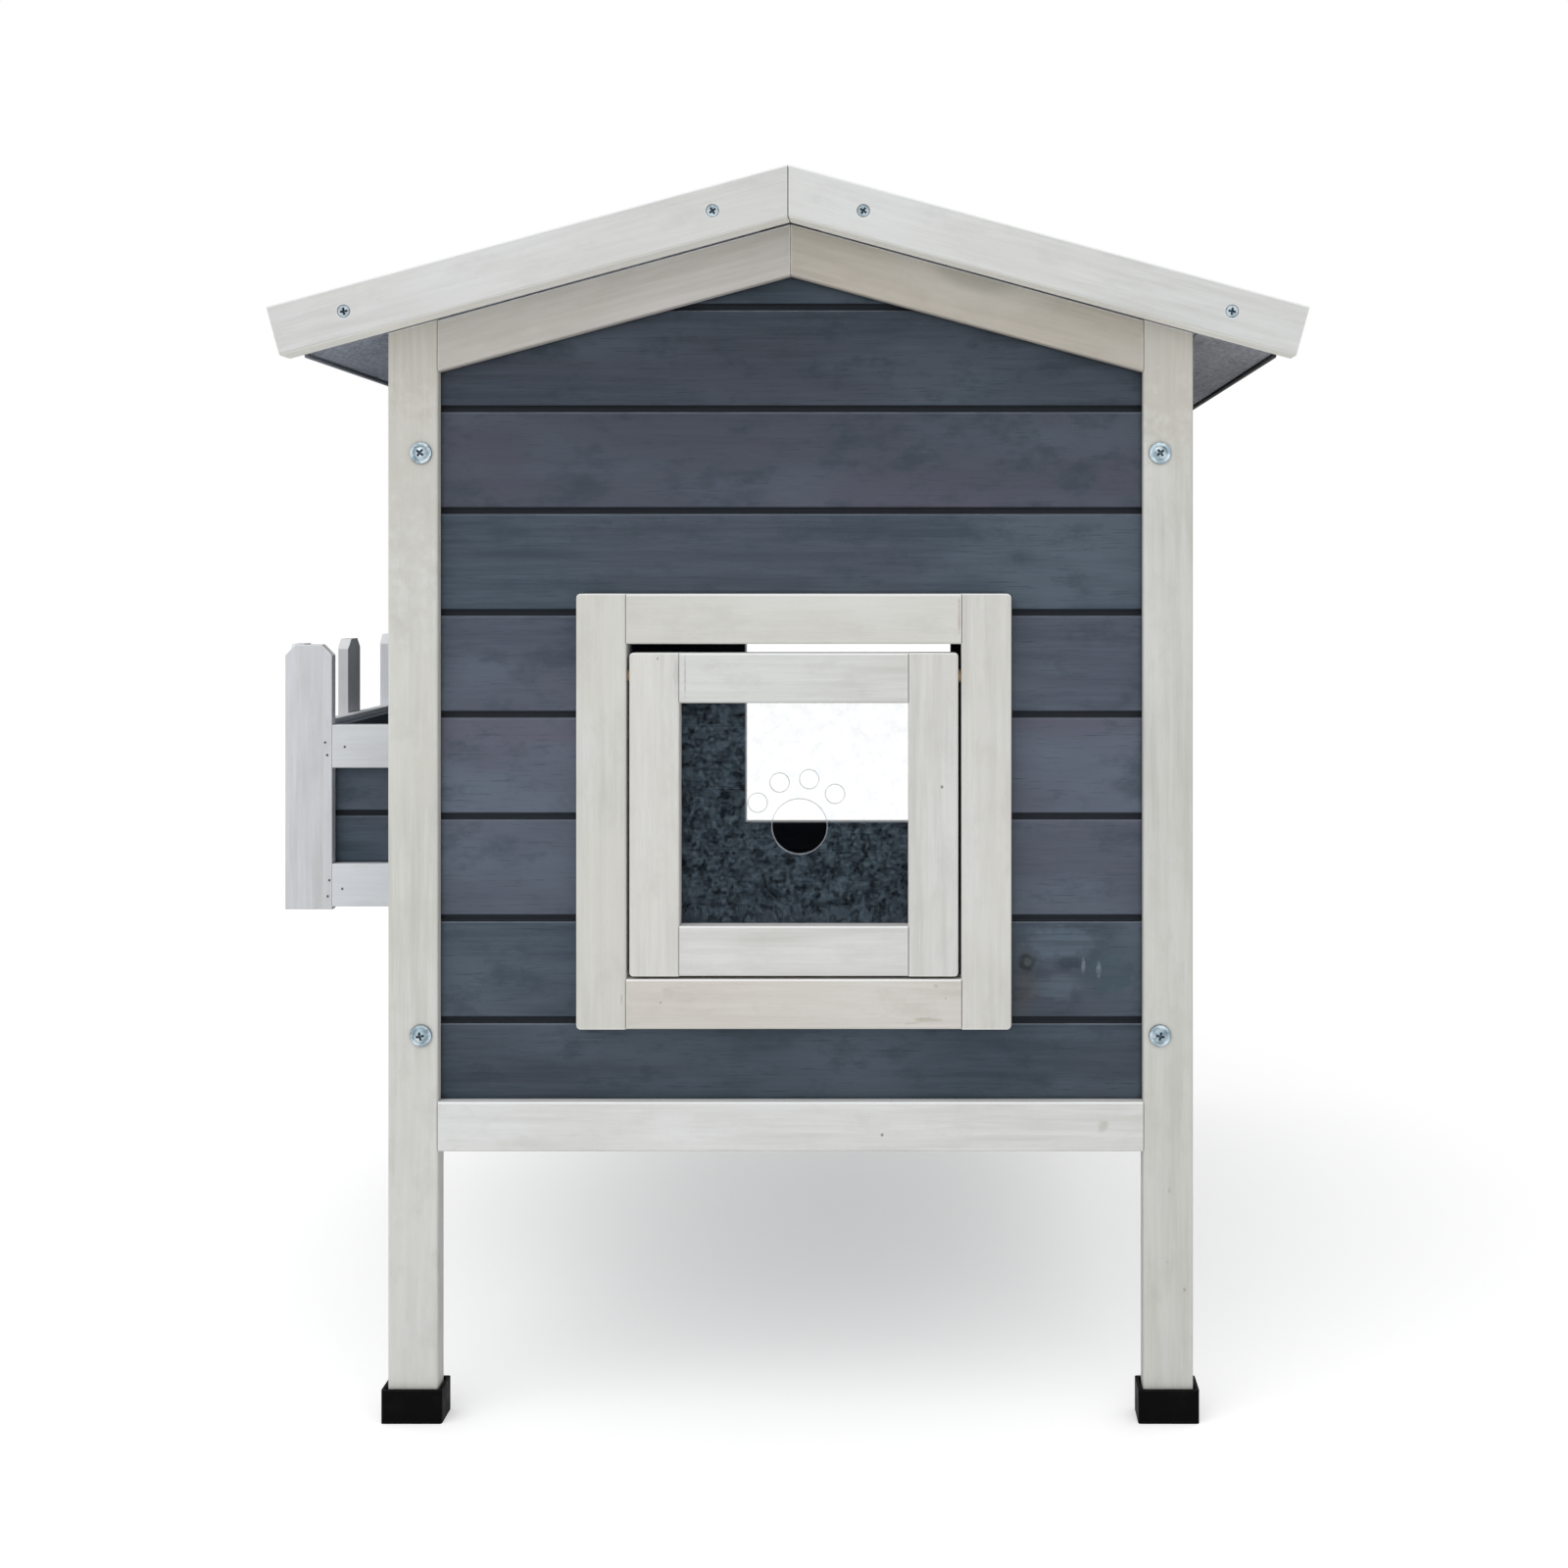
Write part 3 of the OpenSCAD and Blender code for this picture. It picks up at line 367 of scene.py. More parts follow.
def timber(
    name, look, along, seed, second=None, cell=None, marks=(), groove=None, tint=WHITE,
    inside=None, painted_light=None, warmth=None, lit=None,
):
    """Makes a node of painted or stained softwood.

    along: the grain's direction. second: another one, and a function that says where it
    holds. cell: size and origin of the boards, each with a grain of its own. marks: spots
    of another colour. groove: height of the first groove and pitch of the grooves, which
    take painted shade, with a painted highlight on the lip below each. tint: multiplies
    the coat's colours. inside: a direction and a distance along it, past which the boards
    take painted shade. lit: the same, past which a bargeboard's lower edge takes painted
    light. bleached: where the painted light on the boards is strongest, and the way to
    where the painted shade is deepest. warmth: the first board's foot, the pitch and how
    far each board leans to the warm stain.
    """
    finish = Finish(f"{look.coat}_{name}")
    place = finish.place()
    up = finish.dot(place, UPRIGHT)
    grain, tone = grain_coordinates(finish, place, along, seed, second, cell)
    wander = grain_noise(finish, grain, WANDER)
    streak = grain_noise(finish, grain, STREAKS)
    pores = grain_noise(finish, grain, PORES)
    cloud = grain_noise(finish, grain, CLOUDS)
    pale, deep = tinted(look.pale, tint), tinted(look.deep, tint)

    rings = growth_rings(finish, grain, wander, look.ring_count) * look.ring_share
    lines = (rings + set_in(finish, streak, STREAKS) * (1 - look.ring_share)).clamped()
    finish.colour = finish.mix(lines, deep, tinted(look.body, tint))

    thin = grain_noise(finish, grain, THIN_COAT)
    lean = set_in(finish, thin, THIN_COAT) * look.cloud_share
    if warmth:
        start, pitch, shares = warmth
        lean = lean * SPOT_LEAN + shares[0] * BOARD_LEAN
        for i in range(1, len(shares)):
            lean = lean + up.over(start + i * pitch) * ((shares[i] - shares[i - 1]) * BOARD_LEAN)
        lean = lean.clamped()
    finish.coat(lean, tinted(look.warm, tint))

    mottle = grain_noise(finish, grain, MOTTLE)
    finish.coat(set_in(finish, cloud, CLOUDS, look.cloud_share), pale)
    finish.coat(set_in(finish, mottle, MOTTLE, look.mottle_share), deep)
    if look.fleck_share > 0:
        fleck = finish.noise(place, 450.0, 3.0, 0.75)
        finish.coat(finish.spread(fleck, 0.53, 0.63, 0.0, look.fleck_share), pale)
        finish.coat(
            finish.spread(fleck, 0.46, 0.36, 0.0, look.fleck_share), tinted(look.knot, tint)
        )
    finish.coat(set_in(finish, pores, PORES, look.pore_share), deep)

    distance, number = finish.cells(stretched(finish, grain, KNOTS_ALONG, KNOTS_ACROSS), 1.0)
    chance = number.over(1.0 - look.knot_share)
    distance = distance + wander * 0.04
    knot = finish.spread(distance, *KNOT_REACH) * chance
    finish.coat(finish.spread(distance, *HALO_REACH) * chance * 0.35, look.deep)
    finish.coat(knot * 0.75, look.knot)
    if cell:
        finish.coat(tone * look.board_share, pale)

    for spot, reach, shade, share in marks:
        away = finish.vectors("LENGTH", finish.scaled(place, spot, reach))["Value"]
        ragged = away + (finish.noise(place, 130.0, 4.0, 0.65) - 0.5) * 2.2
        patchy = finish.spread(streak, 0.34, 0.60, 0.45, 1.0)
        finish.coat(finish.spread(ragged, 1.30, 0.55) * patchy * share, shade)
    # Painted light and shade: the boards lighter round a middle height and darker above and below
    # it
    if painted_light:
        middle, reach = painted_light
        level = finish.spread((up - middle).size(), reach, 0.0, *PAINTED_LIGHT_LEVELS)
        finish.coat(1.0, finish.vector(level, level, level), "MULTIPLY")

    rounded = finish.rounded(look.edge_radius)
    edge = finish.edge(rounded)
    worn = finish.spread(finish.noise(place, 60.0, 3.0, 0.6), 0.38, 0.62, 0.35, 1.0)
    # Worn eased edges with a painted highlight: the edges paler where they catch the light
    finish.coat(edge * worn * look.edge_wear_and_highlight_share, look.edge)
    # Painted highlight on the lip over each groove, and painted shade in the groove
    if groove:
        start, pitch = groove
        step = ((up - start) / pitch).fraction()
        lip_highlight = step.over(1.0 - LIP_WIDTH / pitch) * worn
        finish.coat(lip_highlight * LIP_HIGHLIGHT_SHARE, look.edge)
        finish.coat(step.under(GROOVE / pitch) * GROOVE_SHADE_SHARE, look.knot)
    # Painted shade on the boards' inner side, inside the closed cabin
    if inside:
        direction, limit = inside
        inner = finish.dot(place, direction).over(limit)
        finish.coat(inner * INSIDE_SHADE_SHARE, look.knot)
    # Painted light on a bargeboard's lower edge, which faces down into shade
    if lit:
        direction, limit = lit
        finish.coat(finish.dot(place, direction).over(limit) * LIT_SHARE, LIT_UNDERSIDE)
    # Painted highlight on the edges that look up, where light from above falls
    upper = finish.upper_edge(rounded) * look.upper_highlight_share
    finish.coat(upper, look.top)
    # Joint dirt with painted shade: darker deep in joints and inner corners
    joint = finish.crevice(look.joint_reach) * (1.0 - upper)
    finish.coat(joint * look.joint_dirt_and_shade_share, look.joint)

    height = lines * 0.5 + pores * 0.3 + cloud * 0.2 - knot * 0.4
    dress(name, finish.done(
        Roughness=(0.62 + streak * 0.18 - edge * 0.08).clamped(),
        Specular_IOR_Level=look.gloss,
        Normal=finish.bump(height, look.relief, 0.6),
    ))


def colour_of(name, description, default):
    """A colour that a user may change."""
    return FloatVectorProperty(
        name=name, description=description, subtype="COLOR", default=default, min=0, max=1
    )


def number_of(name, description, default, least=0, most=1, **kind):
    """A number that a user may change, a strength unless it has another kind."""
    return FloatProperty(
        name=name, description=description, default=default, min=least, max=most,
        **(kind or {"subtype": "FACTOR"}),
    )


def length_of(name, description, default, least, most):
    """A size in metres that a user may change."""
    return number_of(name, description, default, least, most, unit="LENGTH")


class TimberLook(bpy.types.PropertyGroup):
    """Colours and grain of one kind of timber."""

    coat: StringProperty(name="Coat", description="Name of the coat", default="washed")
    body: colour_of("Body", "Colour of the soft early wood", (0.640, 0.642, 0.612))
    deep: colour_of("Grain", "Colour of the grain lines", (0.530, 0.525, 0.490))
    pale: colour_of("Thick coat", "Colour where the coat lies thicker", (0.690, 0.700, 0.685))
    warm: colour_of("Thin coat", "Colour where the wood shows through", (0.640, 0.628, 0.580))
    # Colour of the eased edges: wear with a painted highlight
    edge: colour_of("Edge", "Colour of the eased edges", (0.790, 0.800, 0.790))
    # Colour of the painted highlight on the edges that look up
    top: colour_of("Upper edge", "Colour of the edges that look up", (0.90, 0.915, 0.925))
    # Colour of the joint dirt with painted shade in joints and inner corners
    joint: colour_of("Joint", "Colour of the dirt in the joints", (0.16, 0.15, 0.13))
    knot: colour_of("Knot", "Colour of a knot", (0.36, 0.34, 0.30))
    ring_count: FloatProperty(
        name="Rings", description="Grain rings over one metre", default=300.0, min=50, max=3000
    )
    ring_share: number_of("Ring contrast", "Share of the rings in the grain", 0.24)
    cloud_share: number_of("Cloudiness", "Share of the thick coat's colour", 0.5)
    pore_share: number_of("Pores", "Strength of the fine pores", 0.22)
    mottle_share: number_of("Mottle", "Strength of the coat's small blotches", 0.45)
    fleck_share: number_of("Flecks", "Strength of the coat's pale and dark flecks", 0.0)
    knot_share: number_of("Knots", "Share of places with a knot", 0.10)
    board_share: number_of("Board variation", "How much the boards differ", 0.2)
    # Strength of the worn edges and their painted highlight
    edge_wear_and_highlight_share: number_of("Edge wear", "Strength of the edges' colour", 0.6)
    # Strength of the painted highlight on the upper edges
    upper_highlight_share: number_of("Upper edge wear", "Strength of the upper edges' colour", 0.9)
    # Strength of the joint dirt and painted shade
    joint_dirt_and_shade_share: number_of("Joint dirt", "Strength of the dirt in the joints", 0.60)
    gloss: number_of("Gloss", "Level of the sheen", 0.22)
    edge_radius: length_of("Edge width", "Width of the worn edges", 0.0020, 0.0002, 0.01)
    joint_reach: length_of("Joint width", "How far the dirt reaches", 0.0022, 0.0005, 0.05)
    relief: length_of("Relief", "Depth of the grain", 0.0004, 0.0, 0.005)


class StageLook(bpy.types.PropertyGroup):
    """Camera, lamps and floor of the studio."""

    camera_place: FloatVectorProperty(
        name="Camera", description="Place of the camera", subtype="TRANSLATION", unit="LENGTH",
        default=(0.1153, -1.4778, 0.5089),
    )
    camera_lens: number_of("Lens", "Focal length of the camera", 42.90, 10, 200, unit="CAMERA")
    camera_shift: FloatVectorProperty(
        name="Shift", description="Shift of the picture plane", size=2, default=(-0.0952, -0.1335)
    )
    sky_strength: number_of("Surround", "Level of the surrounding light", 0.76, most=3)
    key_power: number_of("Key lamp", "Power of the key lamp", 36.0, most=500, unit="POWER")
    fill_power: number_of("Fill lamp", "Power of the fill lamp", 12.0, most=500, unit="POWER")
    floor_colour: colour_of("Floor", "Colour of the floor", (0.90, 0.90, 0.90))
    floor_lift: number_of("Floor lift", "Brightness added to the floor for the eye alone", 0.36)


class NailSizes(bpy.types.PropertyGroup):
    """Sizes of the small fastenings."""

    brad: length_of("Brad", "Diameter of a brad's head", 0.0018, 0.001, 0.004)
    clout: length_of("Felt nail", "Diameter of a felt nail's head", 0.009, 0.005, 0.014)
    clout_step: length_of("Felt nail spacing", "Distance between two felt nails", 0.085, 0.04, 0.2)
    hinge_screw: length_of("Hinge screw", "Diameter of a hinge screw's head", 0.0062, 0.003, 0.009)
    sides: IntProperty(name="Sides", description="Sides of a round head", default=16, min=8, max=48)


SLATE = {
    "coat": "stained",
    "body": (0.064, 0.090, 0.117),
    "deep": (0.036, 0.051, 0.068),
    "pale": (0.098, 0.126, 0.160),
    "warm": (0.090, 0.088, 0.120),
    "edge": (0.160, 0.185, 0.220),
    "top": (0.160, 0.185, 0.220),
    "joint": (0.012, 0.014, 0.018),
    "knot": (0.020, 0.024, 0.028),
    "ring_share": 0.25,
    "cloud_share": 0.70,
    "pore_share": 0.7,
    "mottle_share": 0.6,
    "knot_share": 0.16,
    "board_share": 0.15,
    "edge_wear_and_highlight_share": 0.35,
    "upper_highlight_share": 0.4,
    "joint_dirt_and_shade_share": 0.80,
    "gloss": 0.12,
    "edge_radius": 0.0016,
    "joint_reach": 0.0045,
}
ROOF_GREY = {
    "coat": "grey",
    "body": (0.285, 0.292, 0.315),
    "deep": (0.130, 0.135, 0.150),
    "pale": (0.400, 0.405, 0.430),
    "warm": (0.250, 0.235, 0.235),
    "edge": (0.30, 0.30, 0.32),
    "top": (0.30, 0.30, 0.32),
    "joint": (0.040, 0.040, 0.044),
    "knot": (0.060, 0.056, 0.054),
    "pore_share": 0.6,
    "mottle_share": 0.9,
    "fleck_share": 0.75,
    "knot_share": 0.22,
    "edge_wear_and_highlight_share": 0.3,
    "upper_highlight_share": 0.3,
    "joint_dirt_and_shade_share": 0.15,
    "gloss": 0.12,
    "edge_radius": 0.0016,
}
# The lean of the cabin's boards to the warm stain, from the lowest one up
WARM_SHARES = (0.0, 0.1, 0.8, 1.0, 0.55, 0.05, 0.8, 0.35, 0.0)
# Painted light and shade on the cabin's boards: the height at which the painted light is strongest,
# and the way from there to where the painted shade is deepest
PAINTED_LIGHT_BAND = (0.40, 0.27)
# Colours that the washed members take on their own, and painted shade in the gable rails' darker
# tints
# The balcony's cool tints: a cooler tone, and painted light that lifts its members
COOL_AND_LIT = (1.09, 1.11, 1.21)
COOL_AND_LIT_RAIL = (1.15, 1.19, 1.29)
TINTS = {
    # Painted shade under the bargeboards
    "front_left_gable_rail": (0.81, 0.78, 0.78),
    "front_right_gable_rail": (0.75, 0.70, 0.65),
    "front_right_post": (0.95, 0.955, 0.955),
    "front_bottom_rail": (1.10, 1.11, 1.15),
    "front_trim_bottom_rail": (0.99, 0.95, 0.94),
    "front_trim_right_stile": (1.02, 1.02, 1.03),
    "flap_left_stile": (1.07, 1.07, 1.09),
    "flap_right_stile": (1.04, 1.04, 1.06),
    "flap_top_rail": (1.02, 1.03, 1.05),
    "flap_bottom_rail": (1.07, 1.07, 1.10),
    "lid_front_bargeboard": (1.01, 1.02, 1.06),
    "roof_front_bargeboard": (1.04, 1.06, 1.11),
    "lid_back_bargeboard": (1.01, 1.02, 1.06),
    "roof_back_bargeboard": (1.04, 1.04, 1.04),
}
# Tints of the grey timber under the two roof halves
SOFFIT_TINTS = {"lid": (1.02, 1.12, 1.26), "roof": (1.06, 1.09, 1.13)}
# How deep the felt's hem is rubbed, and how far up its inner face
RUBBED = 0.0016
RUBBED_INSIDE = 0.006
# The felt's grit from dark to bright
GRIT = (
    (0.0, (0.010, 0.011, 0.012)),
    (0.45, (0.022, 0.023, 0.025)),
    (0.85, (0.045, 0.047, 0.050)),
    (1.0, (0.12, 0.125, 0.13)),
)
# Brads on the balcony's short sides, from its outer face and over its rails' foot
SIDE_BRADS = (
    (0.0281, 0.1147), (0.0296, 0.1059), (0.0310, 0.0185), (0.0299, 0.0073),
    (0.0418, 0.1117), (0.0401, 0.0125), (0.1280, 0.1100), (0.1275, 0.0140),
)
# Heights of the brads in the outer pickets, and their way from a picket's middle
PICKET_BRADS = (0.010, 0.019, 0.106, 0.116)
BRAD_SHIFT = -0.006
# Heights of the heads of brads, felt nails and hinge screws
BRAD_HEAD = 0.0005
CLOUT_HEAD = 0.0012
SCREW_HEAD = 0.0007
# Felt nails: how far in from the eave and the gables their rows run, and where these end
EAVE_ROW = 0.022
GABLE_ROW = 0.010
ROW_END = 0.02
RIDGE_END = 0.035
EAVE_END = 0.040
# Pane pins: radius, length, and their middle's way off the pane's face and from its edge
PIN_RADIUS = 0.0006
PIN_LENGTH = 0.007
PIN_OFF = 0.0007
PIN_IN = 0.001
# Thickness of a hinge leaf
LEAF = 0.0015
# Screws of a hinge leaf: along the leaf, down the slope, and the turn of the recess
LEAF_SCREWS = ((0.009, 0.015, 0.3), (0.032, 0.018, 1.1), (0.055, 0.015, 0.7))
# A node's one piece along an axis: longer than any of them
WHOLE = (10, -5)


def boards(x=WHOLE, y=WHOLE, z=WHOLE):
    """The size and origin of a node's boards, from the pitch and first joint on each axis."""
    return tuple(zip(x, y, z))


def past(direction, limit):
    """Says where a member lies past a distance along a direction."""
    return lambda finish, place: finish.dot(place, direction).over(limit)


def down_slope(side):
    """The way down a roof half: the left one's side is -1, the right one's is 1."""
    return Vector((side * math.cos(ROOF_PITCH), 0, -math.sin(ROOF_PITCH)))


def off_slope(side):
    """The way out of a roof half's upper face."""
    return Vector((side * math.sin(ROOF_PITCH), 0, math.cos(ROOF_PITCH)))


def on_slope(side, reach, y, top):
    """A place on a roof half, a reach away from the ridge."""
    return Vector((RIDGE_X + side * reach, y, top - reach * math.tan(ROOF_PITCH)))


def furthest(name, direction):
    """How far a node reaches along a direction."""
    return max(vertex.co.dot(direction) for vertex in nodes[name].data.vertices)


def picket_step():
    """Distance between two pickets of the balcony's long side."""
    return (high("balcony_pickets").y - low("balcony_pickets").y - END_PICKETS) / 3


def dress(name, material):
    """Gives a material to a CAD node."""
    slots = nodes[name].data.materials
    if len(slots) == 0:
        slots.append(material)
    for i in range(len(slots)):
        slots[i] = material


def new_object(name, data):
    """Puts a new object into the scene."""
    made = bpy.data.objects.new(name, data)
    bpy.context.scene.collection.objects.link(made)
    return made


def mesh_object(name, mesh, material):
    """Turns a finished bmesh into an object."""
    data = bpy.data.meshes.new(name)
    mesh.to_mesh(data)
    mesh.free()
    data.materials.append(material)
    return new_object(name, data)


def new_piece(name, mesh, material, body):
    """Turns a finished bmesh into a piece that rides on a body."""
    bmesh.ops.recalc_face_normals(mesh, faces=mesh.faces)
    piece = mesh_object(name, mesh, material)
    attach(piece, body)


def facing(normal, spin=0.0):
    """Rotation that turns +Z to the normal."""
    turn = UPRIGHT.rotation_difference(normal).to_matrix().to_4x4()
    return turn @ Matrix.Rotation(spin, 4, "Z")


def add_head(mesh, place, normal, diameter, height, sides):
    """Adds one low domed nail head to a mesh."""
    place, normal = Vector(place), Vector(normal)
    turn = Matrix.Translation(place) @ facing(normal)
    made = bmesh.ops.create_cone(
        mesh, cap_ends=True, segments=sides, radius1=diameter / 2, radius2=diameter / 2,
        depth=height, matrix=turn @ Matrix.Translation((0, 0, height / 2 - 0.0002)),
    )
    top = max((v.co - place).dot(normal) for v in made["verts"])
    rim = [
        e for e in {e for v in made["verts"] for e in v.link_edges}
        if all((v.co - place).dot(normal) > top - 1e-6 for v in e.verts)
    ]
    bmesh.ops.bevel(
        mesh, geom=rim, offset=height * 0.6, affect="EDGES", segments=2, profile=0.5,
        material=-1,
    )


def add_cross_head(mesh, place, normal, diameter, height, spin):
    """Adds one flat screw head with a cross recess to a mesh."""
    turn = Matrix.Translation(place) @ facing(normal, spin)
    made = bmesh.ops.create_cone(
        mesh, cap_ends=True, segments=24, radius1=diameter / 2, radius2=diameter / 2 * 0.94,
        depth=height, matrix=turn @ Matrix.Translation((0, 0, height / 2 - 0.0001)),
    )
    faces = {f for v in made["verts"] for f in v.link_faces}
    top = max(faces, key=lambda f: (f.calc_center_median() - place).dot(normal))
    bmesh.ops.inset_region(mesh, faces=[top], thickness=diameter * 0.14)
    centre = top.calc_center_median()
    for i, vert in enumerate(top.verts):
        # Two corners of every six lie at the end of an arm of the cross
        reach = 1.0 if i % 6 in (0, 1) else 0.42
        vert.co = centre + (vert.co - centre) * reach
    pressed = bmesh.ops.extrude_face_region(mesh, geom=[top])
    floor = [g for g in pressed["geom"] if isinstance(g, bmesh.types.BMVert)]
    bmesh.ops.translate(mesh, verts=floor, vec=-normal * height * 0.7)
    bmesh.ops.delete(mesh, geom=[top], context="FACES_ONLY")


def zinc_finish(name, seed, dark=0.0, even=0.0):
    """Bright zinc plating with blue and grey clouds, dulled by dark and calmed by even,
    with painted shade on rounded rims and in recesses.
    """
    finish = Finish(name)
    place = finish.place()
    cloud = finish.noise(place, 160.0 + seed, 3.0, 0.6)
    scuff = finish.noise(place, 900.0, 2.0, 0.7)
    finish.colour = finish.mix(
        finish.spread(cloud, 0.35, 0.65), (0.23, 0.31, 0.36), (0.60, 0.70, 0.76)
    )
    finish.coat(even, (0.46, 0.49, 0.51))
    finish.coat(finish.spread(scuff, 0.62, 0.75, 0.0, 0.4), (0.20, 0.23, 0.25))
    # Painted shade on rounded rims and edges
    finish.coat(finish.edge(finish.rounded(0.0007)) * 0.9, (0.03, 0.055, 0.075))
    # Painted shade in recesses and where a head meets the wood
    finish.coat(finish.crevice(0.003, 0.93, 0.62), (0.010, 0.018, 0.026))
    finish.coat(dark, (0.03, 0.034, 0.04))
    return finish.done(
        Metallic=0.9,
        Roughness=finish.spread(cloud, 0.3, 0.7, 0.26, 0.42),
        Normal=finish.bump(scuff, 0.00008, 0.5),
    )


def washed_members():
    """The washed members with the way of their grain, in the order of their seeds."""
    lay = {}
    for side in ("front", "back"):
        lay[f"{side}_left_post"] = lay[f"{side}_right_post"] = UPRIGHT
        lay[f"{side}_left_gable_rail"] = down_slope(-1)
        lay[f"{side}_right_gable_rail"] = down_slope(1)
        lay[f"{side}_bottom_rail"] = ALONG_X
        lay[f"{side}_trim_left_stile"] = lay[f"{side}_trim_right_stile"] = UPRIGHT
        lay[f"{side}_trim_top_rail"] = lay[f"{side}_trim_bottom_rail"] = ALONG_X
        lay[f"lid_{side}_bargeboard"] = down_slope(-1)
        lay[f"roof_{side}_bargeboard"] = down_slope(1)
    lay["flap_left_stile"] = lay["flap_right_stile"] = UPRIGHT
    lay["flap_top_rail"] = lay["flap_bottom_rail"] = ALONG_X
    for side in ("left", "right"):
        lay[f"{side}_wall_front_stile"] = lay[f"{side}_wall_back_stile"] = UPRIGHT
        lay[f"{side}_wall_top_rail"] = lay[f"{side}_wall_bottom_rail"] = ALONG_Y
    return lay


def marks_on(y, depth, *rows):
    """Marks on the face at y, each from x, z, its half sizes, colour and strength."""
    return [
        ((x, y, z), (width, depth, height), shade, share)
        for x, z, width, height, shade, share in rows
    ]


def washed_marks(speck):
    """The small marks on the washed members, dark specks in a knot's colour among them, and
    painted shadow of the roof on the posts' tops.
    """
    front = low("front_bottom_rail").y
    door = low("front_trim_top_rail").y
    # Painted shadow of the roof on the posts' tops
    shade = (0.50, 0.48, 0.43)
    return {
        "front_left_post": marks_on(
            front, 0.02, (-0.190, 0.389, 0.007, 0.020, (0.57, 0.55, 0.50), 0.5)
        ) + marks_on(
            front, 0.03,
            (-0.198, 0.662, 0.040, 0.055, shade, 0.85),
            (-0.198, 0.662, 0.060, 0.160, shade, 0.55),
        ),
        "front_right_post": marks_on(
            front, SKIN,
            (0.2573, 0.139, 0.0010, 0.0016, speck, 0.9),
            (0.2560, 0.096, 0.0009, 0.0010, speck, 0.8),
            (0.2663, 0.079, 0.0010, 0.0012, speck, 0.9),
        ) + marks_on(front, 0.03, (0.2570, 0.662, 0.040, 0.075, shade, 0.85)),
        "front_bottom_rail": marks_on(
            front, SKIN,
            (0.2176, 0.177, 0.0035, 0.0040, (0.42, 0.40, 0.36), 0.6),
            (0.0845, 0.1723, 0.0009, 0.0009, (0.10, 0.10, 0.10), 0.9),
        ),
        "front_trim_top_rail": marks_on(
            door, SKIN, (0.1308, 0.4834, 0.0009, 0.0125, (0.40, 0.31, 0.25), 0.6)
        ),
        "front_trim_left_stile": marks_on(
            door, SKIN, (-0.0708, 0.2560, 0.0005, 0.0035, (0.33, 0.32, 0.29), 0.6)
        ),
        "front_trim_bottom_rail": marks_on(
            door, SKIN,
            (0.1140, 0.2431, 0.0085, 0.0014, (0.38, 0.33, 0.24), 0.6),
            (0.1023, 0.2413, 0.0040, 0.0008, (0.38, 0.33, 0.24), 0.5),
            (0.1169, 0.2636, 0.0014, 0.0012, (0.45, 0.43, 0.39), 0.6),
            (0.1227, 0.2560, 0.0008, 0.0006, (0.30, 0.27, 0.24), 0.7),
            (-0.0474, 0.2536, 0.0008, 0.0008, (0.35, 0.26, 0.20), 0.7),
            (-0.0427, 0.2595, 0.0040, 0.0030, (0.50, 0.48, 0.45), 0.5),
        ),
        "flap_left_stile": marks_on(
            door, SKIN,
            (-0.0492, 0.4589, 0.0006, 0.0012, (0.25, 0.24, 0.23), 0.7),
            (-0.0381, 0.4483, 0.0018, 0.0090, (0.42, 0.40, 0.37), 0.45),
        ),
        "flap_top_rail": marks_on(
            door, SKIN, (-0.0328, 0.4483, 0.0005, 0.0120, (0.38, 0.32, 0.25), 0.5)
        ),
        "flap_right_stile": marks_on(
            door, SKIN, (0.1204, 0.3823, 0.0008, 0.0009, (0.14, 0.13, 0.12), 0.9)
        ),
    }


def knotty_board(look):
    """The knot of the cabin's second board, with its rings and pale flecks."""
    return marks_on(
        low("front_boards").y, 0.02,
        (0.192, 0.286, 0.020, 0.010, (0.112, 0.150, 0.190), 0.60),
        (0.189, 0.260, 0.016, 0.007, (0.112, 0.150, 0.190), 0.55),
        (0.222, 0.268, 0.020, 0.014, (0.050, 0.080, 0.098), 0.60),
        (0.172, 0.262, 0.008, 0.020, (0.095, 0.092, 0.088), 0.50),
        (0.198, 0.2735, 0.010, 0.0045, look.deep, 0.8),
        (0.206, 0.2720, 0.0013, 0.0050, (0.170, 0.205, 0.240), 0.8),
        (0.2153, 0.2703, 0.0013, 0.0055, (0.170, 0.205, 0.240), 0.8),
        (0.172, 0.2741, 0.0058, 0.0052, look.knot, 0.75),
        (0.1728, 0.2745, 0.0026, 0.0022, (0.085, 0.105, 0.118), 0.8),
    )


